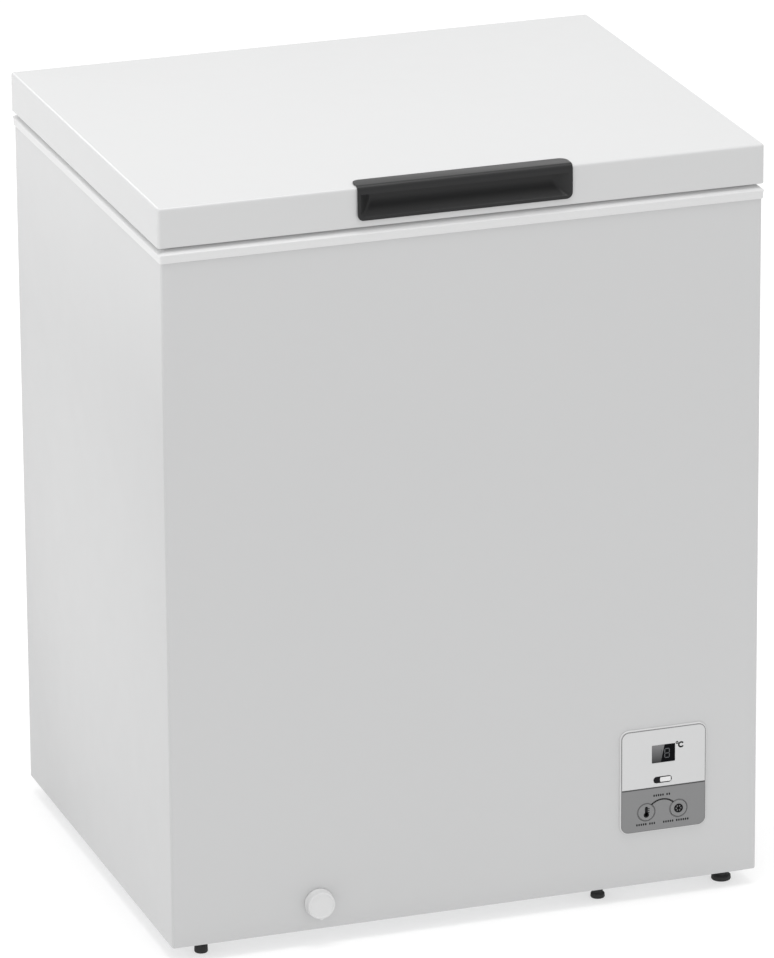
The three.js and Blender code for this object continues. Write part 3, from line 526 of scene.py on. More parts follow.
def printed_film(name, pale, dark, split, line):
    """Control panel film: pale above a level, dark below it, with a printed line between."""
    finish = Finish(name)
    height = finish.axis("Z")
    below = height < split
    edge = (height < split + line) * (height > split - line)
    speck = finish.noise(900.0, 2.0)
    upper = finish.shade(speck, pale, 0.985, 1.015)
    lower = finish.shade(speck, dark, 0.97, 1.03)
    ground = finish.mix(below, upper, lower)
    finish.set(Base_Color=finish.mix(edge, ground, rgb(dark, 0.2)))
    finish.set(Roughness=0.4 + 0.1 * (speck - 0.5))
    finish.bump(speck, 0.02, 0.0002)
    return finish.material


def smoked_window(name, edge, level, slant):
    """Dark display lens, with a painted reflection: a paler band painted on its left, cut off on a
    slant.
    """
    finish = Finish(name)
    across = finish.axis("X")
    height = finish.axis("Z")
    # Painted reflection: a paler band on the lens's left, cut off on a slant, stands in for light
    # mirrored in the glass.
    painted = (across - slant * (height - level)) < edge
    fade = finish.wire(
        "ShaderNodeMapRange", None,
        {"Value": height, "From Min": level - 10 * MM, "From Max": level + 10 * MM},
    )
    reflection = finish.mix(fade, (0.05, 0.05, 0.051, 1), (0.21, 0.21, 0.214, 1))
    finish.set(Base_Color=finish.mix(painted, (0.004, 0.004, 0.005, 1), reflection))
    finish.set(Roughness=0.1 + 0.05 * finish.noise(300.0, 1.0))
    finish.set(Specular_IOR_Level=0.03)
    return finish.material


def circuit_resin(name, color):
    """Green board with faint copper tracks under the resin."""
    finish = Finish(name)
    track = finish.cells(160.0, "DISTANCE_TO_EDGE") < 0.06
    finish.set(Base_Color=finish.shade(track, color, 1.0, 2.2))
    finish.set(Roughness=0.4 + 0.1 * track)
    return finish.material


def ink_and_painted_shade(name, color):
    """Screen-printed ink, a little uneven; the same finish also paints the shade in the gap round
    the film.
    """
    finish = Finish(name)
    patch = finish.noise(1200.0, 2.0)
    finish.set(Base_Color=finish.shade(patch, color, 0.85, 1.15))
    finish.set(Roughness=0.5 + 0.1 * patch)
    finish.set(Specular_IOR_Level=0.12)
    return finish.material


def lit_digit(name, color):
    """A display segment, lit dimly."""
    finish = Finish(name)
    patch = finish.noise(500.0, 1.0)
    finish.set(Base_Color=finish.shade(patch, color, 0.8))
    finish.set(Emission_Color=finish.shade(patch, color, 0.7))
    finish.set(Emission_Strength=0.12)
    finish.set(Roughness=0.4)
    return finish.material


def pale_floor(name, color, glow):
    """Studio sweep that is lit from below, which keeps its shadows pale."""
    finish = Finish(name)
    cloud = finish.noise(0.8, 2.0)
    finish.set(Base_Color=finish.shade(cloud, color, 0.995))
    finish.set(Emission_Color=(1, 1, 1, 1))
    finish.set(Emission_Strength=glow)
    finish.set(Roughness=0.9)
    finish.set(Specular_IOR_Level=0.0)
    return finish.material


FINISHES = {}


def finish(key):
    """The finish of that name, made on first use from the colours in the settings."""
    if key not in FINISHES:
        look = bpy.context.scene.freezer_look
        makers = {
            "enamel": (painted_steel, "white_enamel", look.enamel, look.enamel_roughness),
            "lid_enamel": (painted_steel, "lid_enamel", look.lid, look.enamel_roughness),
            "plastic": (moulded_plastic, "white_plastic", look.plastic, 0.37),
            "handle": (
                moulded_plastic, "handle_plastic", look.handle, 0.34, 1100.0, 0.12, 0.12, 0.3
            ),
            "film": (
                printed_film, "panel_film", look.film_pale, look.film_dark, look.film_split,
                0.8 * MM,
            ),
            "key": (moulded_plastic, "key_plastic", look.film_dark, 0.4),
            "window": (smoked_window, "display_lens", look.painted_reflection_edge, look.painted_reflection_height, 0.21),
            "ink": (ink_and_painted_shade, "dark_ink", (0.008, 0.008, 0.009)),
            "grey_ink": (ink_and_painted_shade, "grey_ink", (0.14, 0.14, 0.142)),
            # painted shade: the dark ring in the gap round the panel film
            "joint": (ink_and_painted_shade, "film_joint", (0.22, 0.22, 0.222)),
            "white_ink": (ink_and_painted_shade, "white_ink", (0.75, 0.75, 0.75)),
            "digit": (lit_digit, "display_digit", (0.07, 0.075, 0.08)),
            "zinc": (galvanised, "galvanised_sheet", (0.62, 0.63, 0.64)),
            "bright": (metal_tube, "bright_zinc", (0.68, 0.68, 0.69), 0.3),
            "liner": (stucco_aluminium, "liner_sheet", (0.82, 0.83, 0.84)),
            "copper": (metal_tube, "copper_tube", (0.62, 0.29, 0.17), 0.35),
            "coil": (metal_tube, "coil_tube", (0.7, 0.71, 0.72), 0.35),
            "black": (black_enamel, "compressor_enamel", (0.012, 0.012, 0.013)),
            "rubber": (soft_rubber, "black_rubber", (0.02, 0.02, 0.02)),
            "gasket": (soft_rubber, "gasket_rubber", (0.55, 0.56, 0.57)),
            "foam": (insulating_foam, "rigid_foam", (0.76, 0.66, 0.38)),
            "board": (circuit_resin, "circuit_board", (0.015, 0.09, 0.04)),
            "basket": (moulded_plastic, "basket_coating", look.basket, 0.3, 600.0, 0.04),
            "floor": (pale_floor, "pale_floor", look.floor, look.floor_glow),
        }
        maker, *values = makers[key]
        FINISHES[key] = maker(*values)
    return FINISHES[key]


# ------------------------------------------------------------------ settings


def colour_setting(name, description, default):
    return bpy.props.FloatVectorProperty(
        name=name, description=description, default=default, size=3, subtype="COLOR",
        min=0.0, max=1.0,
    )


def length_setting(name, description, default):
    return bpy.props.FloatProperty(
        name=name, description=description, default=default, unit="LENGTH",
        subtype="DISTANCE", min=0.0,
    )


def angle_setting(name, description, degrees):
    return bpy.props.FloatProperty(
        name=name, description=description, default=math.radians(degrees), subtype="ANGLE",
    )


def power_setting(name, description, default):
    return bpy.props.FloatProperty(
        name=name, description=description, default=default, min=0.0, unit="POWER",
    )


class FreezerLook(bpy.types.PropertyGroup):
    """Colours and gloss of the freezer's visible surfaces."""

    enamel: colour_setting("Enamel", "Colour of the cabinet's paint", (0.54, 0.542, 0.544))
    lid: colour_setting("Lid enamel", "Colour of the lid's paint", (0.565, 0.567, 0.568))
    enamel_roughness: bpy.props.FloatProperty(
        name="Enamel roughness", description="How matt the painted steel is", default=0.36,
        min=0.0, max=1.0, subtype="FACTOR",
    )
    plastic: colour_setting("White plastic", "Colour of the moulded parts", (0.66, 0.661, 0.662))
    handle: colour_setting("Handle", "Colour of the grip handle", (0.014, 0.0142, 0.0146))
    film_pale: colour_setting("Panel, pale", "Upper colour of the panel film", (0.6, 0.602, 0.604))
    film_dark: colour_setting("Panel, grey", "Lower colour of the panel film", (0.21, 0.211, 0.213))
    # The display's paler band is a painted reflection; these two settings place it.
    film_split: length_setting("Panel split", "Height of the line between the colours", 0.1322)
    painted_reflection_edge: length_setting("Painted reflection edge", "Where the display's tinted band ends", 0.2257)
    painted_reflection_height: length_setting("Painted reflection height", "Middle height of the display", 0.1713)
    basket: colour_setting("Basket", "Colour of the basket's coating", (0.78, 0.78, 0.78))
    floor: colour_setting("Floor", "Colour of the floor", (0.5, 0.5, 0.5))
    floor_glow: power_setting("Floor glow", "Light that comes up through the floor", 0.54)


class FreezerSizes(bpy.types.PropertyGroup):
    """Rounded edges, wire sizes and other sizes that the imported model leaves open."""

    fold: length_setting("Sheet fold", "Outside radius of folded steel edges", 3 * MM)
    sheet: length_setting("Sheet", "Thickness of the steel sheet", 0.8 * MM)
    pocket_inset: length_setting("Grip rim", "Width of the rim round the grip pocket", 3.6 * MM)
    pocket_depth: length_setting("Grip depth", "Depth of the grip pocket", 14 * MM)
    wire: length_setting("Basket wire", "Radius of the basket's wires", 1.5 * MM)
    rim_wire: length_setting("Basket rim", "Radius of the basket's rim wire", 2.6 * MM)
    wire_pitch: length_setting("Wire pitch", "Distance between the basket's wires", 27 * MM)


class FreezerStage(bpy.types.PropertyGroup):
    """Camera, floor and lights."""

    azimuth: angle_setting("Camera azimuth", "Angle of the camera round the freezer", -18.817)
    elevation: angle_setting("Camera elevation", "Camera's angle above the horizon", 19.306)
    roll: angle_setting("Camera roll", "Turn of the camera about its own axis", -0.419)
    place: bpy.props.FloatVectorProperty(
        name="Camera place", description="Where the camera stands", size=3,
        default=(-2.52523, -7.42765, 3.17182), subtype="TRANSLATION", unit="LENGTH",
    )
    lens: bpy.props.FloatProperty(
        name="Lens", description="Focal length on a 36 mm sensor", default=282.17, unit="CAMERA",
    )
    sky: power_setting("Sky", "Strength of the even studio light", 0.9)
    key: power_setting("Key light", "Power of the overhead soft box", 72.0)
    strip: power_setting("Strip light", "Power of the narrow light beside the lid", 0.2)
    rim: power_setting("Rim light", "Power of the soft box behind the freezer", 18.0)
    side: power_setting("Side light", "Power of the soft box at the left", 2.0)


# ------------------------------------------------------------------ cabinet


class FREEZER_OT_cabinet(bpy.types.Operator):
    """Folded steel wrap, rear sheet, liner, foam and coils"""

    bl_idname = "freezer.cabinet"
    bl_label = "Cabinet"

    def execute(self, context):
        sizes = context.scene.freezer_sizes
        self.make_wrap(sizes)
        self.make_liner(sizes)
        self.make_rear()
        for node, key in (
            ("bottom_panel", "zinc"), ("compartment_panel", "zinc"),
            ("foam_insulation", "foam"), ("evaporator_coil", "coil"),
            ("condenser_coil", "copper"),
        ):
            dress(node, key)
        return {"FINISHED"}

    def make_wrap(self, sizes):
        span = Span("outer_wrap")
        bm = bmesh.new()
        across = span.across
        along = span.along
        fold = sizes.fold
        low, high = span.z0, span.z1
        lip = 1.2 * MM
        sections = [
            level(across, along, -12 * MM, low, fold),
            level(across, along, -lip, low, fold - lip),
            level(across, along, -lip * 0.3, low + lip * 0.3, fold),
            (across, along, low + lip, fold),
            (across, along, high, fold),
        ]
        stack(bm, sections, 6)
        self.open_back(bm, span)
        self.open_front(bm, span)
        piece = finish_piece(
            "steel_wrap", bm, "cabinet", "enamel", ("outer_wrap",)
        )
        thicken(piece, sizes.sheet)

    def open_front(self, bm, span):
        """Opens the sheet behind the drain dial and behind the control panel."""
        dial = Span("drain_dial")
        panel = Span("control_bezel")
        drain = 8 * MM
        rim = 5 * MM
        for low_x, high_x, low_z, high_z in (
            (dial.x - drain, dial.x + drain, dial.z - drain, dial.z + drain),
            (panel.x0 + rim, panel.x1 - rim, panel.z0 + rim, panel.z1 - rim),
        ):
            cut_opening(
                bm, lambda middle: abs(middle.y - span.y0) < 1e-5, (low_x, 0, low_z),
                (high_x, 0, high_z),
            )

    def open_back(self, bm, span):
        """Leaves only the turned-in edges of the wrap at the back."""
        fold = 16 * MM
        for side in (span.x0 + fold, span.x1 - fold):
            bmesh.ops.bisect_plane(
                bm, geom=bm.verts[:] + bm.edges[:] + bm.faces[:], plane_co=(side, 0, 0),
                plane_no=(1, 0, 0), dist=1e-6,
            )
        middle = [
            face for face in bm.faces
            if face.calc_center_median().y > span.y1 - 1e-4
            and abs(face.calc_center_median().x) < span.x1 - fold
        ]
        bmesh.ops.delete(bm, geom=middle, context="FACES")

    def make_liner(self, sizes):
        """The cavity's walls, floor and step, open at the top."""
        span = Span("inner_liner")
        wall = sizes.sheet
        step = Span("compartment_panel")
        insulation = 54.2 * MM  # between the compartment's roof and the top of the step
        step_top = step.z1 + insulation
        step_side = 95 * MM
        x0, x1 = span.x0 + wall, span.x1 - wall
        y0, y1 = span.y0 + wall, span.y1 - wall
        floor, top = span.z0 + wall, span.z1
        outline = [
            (x0, floor), (step_side, floor), (step_side, step_top),
            (x1, step_top), (x1, top), (x0, top),
        ]
        bm = bmesh.new()
        verts = [bm.verts.new((x, y0, z)) for x, z in outline]
        face = bm.faces.new(verts)
        swept = bmesh.ops.extrude_face_region(bm, geom=[face])["geom"]
        moved = [item for item in swept if isinstance(item, bmesh.types.BMVert)]
        bmesh.ops.translate(bm, vec=(0, y1 - y0, 0), verts=moved)
        lids = [f for f in bm.faces if abs(f.calc_center_median().z - top) < 1e-6]
        bmesh.ops.delete(bm, geom=lids, context="FACES_ONLY")
        corners = [
            edge for edge in bm.edges
            if not all(abs(vert.co.z - top) < 1e-6 for vert in edge.verts)
            and not all(
                abs(vert.co.x - step_side) < 1e-6 and abs(vert.co.z - step_top) < 1e-6
                for vert in edge.verts
            )
        ]
        bevel(bm, corners, 18 * MM, 6)
        bmesh.ops.recalc_face_normals(bm, faces=bm.faces)
        if any(f.normal.z < 0 for f in bm.faces if f.calc_center_median().z < floor + 1e-4):
            bmesh.ops.reverse_faces(bm, faces=bm.faces)
        self.drain_hole(bm, floor)
        piece = finish_piece(
            "liner_sheet", bm, "cabinet", "liner",
            ("inner_liner",), 40, outward=False,
        )
        thicken(piece, wall)

    def drain_hole(self, bm, floor):
        """Opens the floor round the drain's mouth."""
        drain = Span("drain_tube")
        plug = Span("drain_plug")
        radius = 10 * MM
        cut_opening(
            bm, lambda middle: abs(middle.z - floor) < 1e-5,
            (drain.x - radius, plug.y - radius, 0), (drain.x + radius, plug.y + radius, 0),
        )

    def make_rear(self):
        """Rear sheet with its pressed panel and the screws along its edges."""
        refined("rear_panel", "rear_sheet", "cabinet", "enamel", 0.2 * MM)
        span = Span("rear_panel")
        bm = bmesh.new()
        inset = 6 * MM
        rows = 5
        lowest = 0.42  # above the sheet's lower edge, clear of the rear cover
        spare = 0.52  # height of the sheet that the row of screws leaves free
        for side in (span.x0 + inset, span.x1 - inset):
            for row in range(rows):
                height = span.z0 + lowest + row * (span.z1 - span.z0 - spare) / (rows - 1)
                screw(bm, (side, span.y1, height), FACING_BACK)
        for across in (span.x0 + 0.1, span.x, span.x1 - 0.1):
            screw(bm, (across, span.y1, span.z1 - 12 * MM), FACING_BACK)
        finish_piece("rear_screws", bm, "cabinet", "bright")


def dress(node, key):
    """Gives a carried-over CAD node its finish."""
    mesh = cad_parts[node].data
    if not mesh.materials:
        mesh.materials.append(finish(key))
    for index in range(len(mesh.materials)):
        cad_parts[node].material_slots[index].material = finish(key)


def screw(bm, place, turn, radius=3.6 * MM, head=2.0 * MM):
    """Adds a pan-head screw with a cross recess, its head out of a surface."""
    profile = [
        (0, head * 0.62), (radius * 0.18, head * 0.66), (radius * 0.5, head),
        (radius * 0.72, head * 0.93), (radius * 0.93, head * 0.55), (radius, 0.0),
        (radius * 0.6, -0.4 * MM), (0, -0.4 * MM),
    ]
    verts = turned(bm, profile, 14)
    placed(bm, verts, place, turn)


class FREEZER_OT_collar(bpy.types.Operator):
    """Moulded frame round the cavity's mouth"""

    bl_idname = "freezer.collar"
    bl_label = "Collar"

    def execute(self, context):
        span = Span("top_collar")
        mouth = Span("inner_liner")
        wall = context.scene.freezer_sizes.sheet
        x = span.across
        y = span.along
        low, top = span.z0, span.z1
        nose = low + 9.5 * MM
        round_ = 3 * MM
        outer = [  # how far in from the outside, and the height
            (1.6, low), (0.9, low + 0.3 * MM), (0.7, low + 1.0 * MM),
            (0.6, low + 6.2 * MM), (0.35, low + 7.6 * MM), (0.0, low + 8.6 * MM),
            (0.15, nose), (0.8, nose + 0.7 * MM), (2.0, nose + 1.5 * MM),
            (7.0, top - 0.5 * MM), (8.4, top - 0.1 * MM), (10.0, top), (20.5, top),
            (21.6, top - 0.3 * MM), (22.2, top - 1.0 * MM), (22.6, nose + 0.6 * MM),
            (23.4, nose),
        ]
        sections = [
            level(x, y, -inset * MM, height, round_ + inset * 0.2 * MM)
            for inset, height in outer
        ]
        inner_x = (mouth.x0 + wall, mouth.x1 - wall)
        inner_y = (mouth.y0 + wall, mouth.y1 - wall)
        corner = 20 * MM
        for grow, height in (
            (4.0, nose), (2.0, nose - 0.5 * MM), (0.6, nose - 1.6 * MM), (0.2, low),
        ):
            amount = grow * MM
            sections.append(level(inner_x, inner_y, amount, height, corner + amount))
        bm = bmesh.new()
        stack(bm, sections, 8, closed=True)
        finish_piece(
            "mouth_collar", bm, "cabinet", "plastic", ("top_collar",), 30
        )
        return {"FINISHED"}


# ------------------------------------------------------------------ lid


class FREEZER_OT_lid(bpy.types.Operator):
    """Steel skin, inner pan, gasket and foam of the lid"""

    bl_idname = "freezer.lid"
    bl_label = "Lid"

    def execute(self, context):
        sizes = context.scene.freezer_sizes
        self.make_skin(sizes)
        self.make_pan()
        self.make_gasket()
        dress("lid_foam", "foam")
        return {"FINISHED"}

    def make_skin(self, sizes):
        span = Span("lid_skin")
        across, along = span.across, span.along
        fold = sizes.fold
        corner = 4 * MM
        lip = 8 * MM
        sections = [
            level(across, along, -lip, span.z0, corner * 0.3),
            level(across, along, -0.6 * MM, span.z0, corner * 0.8),
            (across, along, span.z0 + 0.6 * MM, corner),
        ]
        steps = 6
        for step in range(steps + 1):
            angle = step / steps * math.pi / 2
            inset = fold * (1 - math.cos(angle))
            height = span.z1 - fold + fold * math.sin(angle)
            radius = max(corner - inset, 0.6 * MM)
            sections.append(level(across, along, -inset, height, radius))
        bm = bmesh.new()
        stack(bm, sections, 6, high_cap=True)
        self.cut_for_handle(bm, span)
        piece = finish_piece("lid_shell", bm, "lid", "lid_enamel", ("lid_skin",))
        thicken(piece, sizes.sheet)

    def cut_for_handle(self, bm, span):
        """Opens the front where the grip pocket passes through."""
        grip = Span("lid_handle")
        rim = 3.2 * MM
        cut_opening(
            bm, lambda middle: middle.y < span.y0 + 1e-5,
            (grip.x0 + rim, 0, grip.z0 + 1.6 * MM), (grip.x1 - rim, 0, grip.z1 - 9 * MM),
        )

    def make_pan(self):
        """White tray: border for the gasket, raised panel with a pressed recess."""
        span = Span("lid_pan")
        across, along = span.across, span.along
        dam = 77 * MM
        dam_x = grown(across, -dam)
        dam_y = (along[0] + 73 * MM, along[1] - 75 * MM)
        under = span.z1 - 2 * MM
        low = span.z0
        rings = [  # how far in from the raised panel's side, height, corner radius
            (-9.0, under, 25), (-6.5, under - 0.4 * MM, 22), (-4.5, under - 1.8 * MM, 20),
            (-3.4, under - 4.0 * MM, 18), (-0.6, low + 4.5 * MM, 16), (0.4, low + 2.2 * MM, 15),
            (2.2, low + 0.6 * MM, 13), (4.5, low, 11), (26.0, low, 9),
            (27.2, low + 0.3 * MM, 8), (28.6, low + 1.0 * MM, 7), (30.0, low + 1.2 * MM, 6),
        ]
        sections = [(across, along, under, 2 * MM)]
        for inset, height, radius in rings:
            sections.append(level(dam_x, dam_y, -inset * MM, height, radius * MM))
        bm = bmesh.new()
        stack(bm, sections, 6, high_cap=True)
        bmesh.ops.recalc_face_normals(bm, faces=bm.faces)
        if max(bm.faces, key=lambda f: f.calc_area()).normal.z > 0:
            bmesh.ops.reverse_faces(bm, faces=bm.faces)
        piece = finish_piece(
            "inner_pan", bm, "lid", "plastic", ("lid_pan",), 30,
            outward=False,
        )
        thicken(piece, 0.8 * MM)

    def make_gasket(self):
        """Bellows seal: a magnet tube below and a soft fold above it."""
        span = Span("lid_gasket")
        across, along = span.across, span.along
        low, high = span.z0, span.z1
        corner = 8 * MM
        outline = [  # how far in from the outside, and the height
            (1.2, low + 0.2 * MM), (0.2, low + 1.0 * MM), (0.0, low + 2.4 * MM),
            (0.8, low + 3.8 * MM), (3.0, low + 4.6 * MM), (3.4, low + 5.4 * MM),
            (1.6, low + 6.6 * MM), (1.4, low + 7.8 * MM), (2.4, high),
            (12.6, high), (13.6, low + 7.8 * MM), (13.4, low + 6.6 * MM),
            (11.6, low + 5.4 * MM), (12.0, low + 4.6 * MM), (14.2, low + 3.8 * MM),
            (15.0, low + 2.4 * MM), (14.8, low + 1.0 * MM), (13.8, low + 0.2 * MM),
            (11.0, low), (4.0, low),
        ]
        sections = [
            level(across, along, -inset * MM, height, max(corner - inset * 0.5 * MM, 1 * MM))
            for inset, height in outline
        ]
        bm = bmesh.new()
        stack(bm, sections, 5, closed=True)
        finish_piece("lid_seal", bm, "lid", "gasket", ("lid_gasket",), 50)


class FREEZER_OT_handle(bpy.types.Operator):
    """Grip handle: face plate wrapped over the lid's edge, with a hollow for the fingers"""

    bl_idname = "freezer.handle"
    bl_label = "Handle"

    def execute(self, context):
        sizes = context.scene.freezer_sizes
        span = Span("lid_handle")
        lid = Span("lid_skin")
        back = lid.y0 + 22 * MM
        bm = bmesh.new()
        low = Vector((span.x0, span.y0, span.z0))
        high = Vector((span.x1, back, span.z1))
        block(bm, low, high)
        for which, radius, segments in (
            ("front_top", 6.0, 8), ("bottom_sides", 7.0, 7), ("back_corners", 9.0, 7),
        ):
            self.round_edges(bm, low, high, which, radius * MM, segments)
        self.sink_pocket(bm, span, sizes)
        self.soften_rim(bm, low, high)
        self.drop_hidden(bm, low, high, lid)
        piece = finish_piece(
            "grip_handle", bm, "lid", "handle", ("lid_handle",), 32,
            outward=False,
        )
        thicken(piece, 0.9 * MM)
        return {"FINISHED"}

    def round_edges(self, bm, low, high, which, radius, segments):
        def near(value, target):
            return abs(value - target) < 1e-5

        chosen = []
        for edge in bm.edges:
            a, b = (vert.co for vert in edge.verts)
            middle = (a + b) / 2
            sides = near(middle.x, low.x) or near(middle.x, high.x)
            if which == "front_top" and near(middle.y, low.y) and near(middle.z, high.z):
                chosen.append(edge)
            if which == "bottom_sides" and sides and near(a.z, low.z) and near(b.z, low.z):
                chosen.append(edge)
            if which == "back_corners" and sides and near(a.y, high.y) and near(b.y, high.y):
                chosen.append(edge)
        bevel(bm, chosen, radius, segments, clamp=False)

    def sink_pocket(self, bm, span, sizes):
        """Insets the flat front and sinks it: a scoop with a long slope up from its sill."""
        face = max((f for f in bm.faces if f.normal.y < -0.99), key=lambda f: f.calc_area())
        bmesh.ops.inset_region(
            bm, faces=[face], thickness=sizes.pocket_inset, use_even_offset=True
        )
        rim = [vert.co.copy() for vert in face.verts]
        side = max(co.x for co in rim)
        sill = min(co.z for co in rim)
        head = max(co.z for co in rim)
        depth = sizes.pocket_depth
        rings = [  # depth, and how far the sides, the sill and the head close in
            (0.03, 0.4, 0.3, 0.1), (0.08, 1.3, 0.8, 0.2), (0.2, 3.2, 1.9, 0.3),
            (0.45, 6.5, 5.0, 0.5), (0.75, 10.5, 9.5, 0.8), (0.93, 13.5, 13.0, 1.6),
            (1.0, 15.5, 15.5, 3.0),
        ]
        for share, inward, raised, lowered in rings:
            face = bmesh.ops.extrude_discrete_faces(bm, faces=[face])["faces"][0]
            low = sill + raised * MM
            tall = (head - lowered * MM - low) / (head - sill)
            for vert, co in zip(face.verts, rim):
                vert.co.x = co.x * (side - inward * MM) / side
                vert.co.y = span.y0 + share * depth
                vert.co.z = low + (co.z - sill) * tall

    def soften_rim(self, bm, low, high):
        """Rounds the outline's thin outer edge a little."""
        edges = []
        for edge in bm.edges:
            if len(edge.link_faces) != 2:
                continue
            one, other = edge.link_faces
            if one.normal.angle(other.normal, 0) < math.radians(60):
                continue
            if all(vert.co.y < low.y + 1e-4 or vert.co.z > high.z - 1e-4 for vert in edge.verts):
                outline = any(
                    abs(f.normal.y) < 0.5 and abs(f.normal.z) < 0.99 for f in edge.link_faces
                )
                inside = all(
                    abs(vert.co.x) < high.x - 3 * MM and vert.co.z < high.z - 7 * MM
                    and vert.co.z > low.z + 3 * MM
                    for vert in edge.verts
                )
                if outline and not inside:
                    edges.append(edge)
        bevel(bm, edges, 0.55 * MM, 2)

    def drop_hidden(self, bm, low, high, lid):
        """Removes the block's faces that lie inside the lid, keeping the pocket."""
        above = lid.z1 - 0.1 * MM
        ahead = lid.y0 + 0.1 * MM
        side, sill, head = 3 * MM, 2.5 * MM, 6.5 * MM  # how far in the pocket's room begins
        behind = 18.5 * MM  # depth in the lid past which no face of the pocket lies
        doomed = []
        for face in bm.faces:
            middle = face.calc_center_median()
            inside_lid = middle.z < above and middle.y > ahead
            in_pocket = (
                abs(middle.x) < high.x - side and low.z + sill < middle.z < high.z - head
            )
            backs = middle.y > lid.y0 + behind
            if inside_lid and (backs or not in_pocket):
                doomed.append(face)
        bmesh.ops.delete(bm, geom=doomed, context="FACES")


# ------------------------------------------------------------------ control panel


def front_plate(bm, across, upright, radius, back, front, edge=0.0, segments=6):
    """Adds a plate that faces the front, from its back plane to its front plane."""
    middle_x = (across[0] + across[1]) / 2
    middle_z = (upright[0] + upright[1]) / 2
    wide = (across[1] - across[0]) / 2
    tall = (upright[1] - upright[0]) / 2
    verts = plate(bm, (-wide, wide), (-tall, tall), radius, -back, -front, edge, segments)
    return placed(bm, verts, (middle_x, 0, middle_z), FACING_FRONT)


def front_disc(bm, x, z, radius, back, front, edge=0.3 * MM, steps=40):
    """Adds a disc that faces the front."""
    profile = [
        (0, -back), (radius, -back), (radius, -front - edge),
        (radius - edge * 0.3, -front - edge * 0.3), (radius - edge, -front), (0, -front),
    ]
    verts = turned(bm, profile, steps)
    return placed(bm, verts, (x, 0, z), FACING_FRONT)


def front_ring(bm, x, z, radius, width, back, front, steps=40):
    """Adds a thin flat ring that faces the front."""
    inner = radius - width
    profile = [(inner, -back), (radius, -back), (radius, -front), (inner, -front), (inner, -back)]
    verts = turned(bm, profile, steps)
    return placed(bm, verts, (x, 0, z), FACING_FRONT)


def front_bar(bm, start, end, width, back, front):
    """Adds a thin straight bar with round ends, on the front plane."""
    a, b = Vector(start), Vector(end)
    length = (b - a).length
    angle = math.atan2(b.y - a.y, b.x - a.x)
    half = width / 2
    verts = plate(
        bm, (-half, length + half), (-half, half), half * 0.96, -back, -front, 0.0, 3
    )
    spin = Matrix.Rotation(angle, 3, "Z")
    bmesh.ops.transform(bm, matrix=spin.to_4x4(), verts=verts)
    return placed(bm, verts, (a.x, 0, a.y), FACING_FRONT)


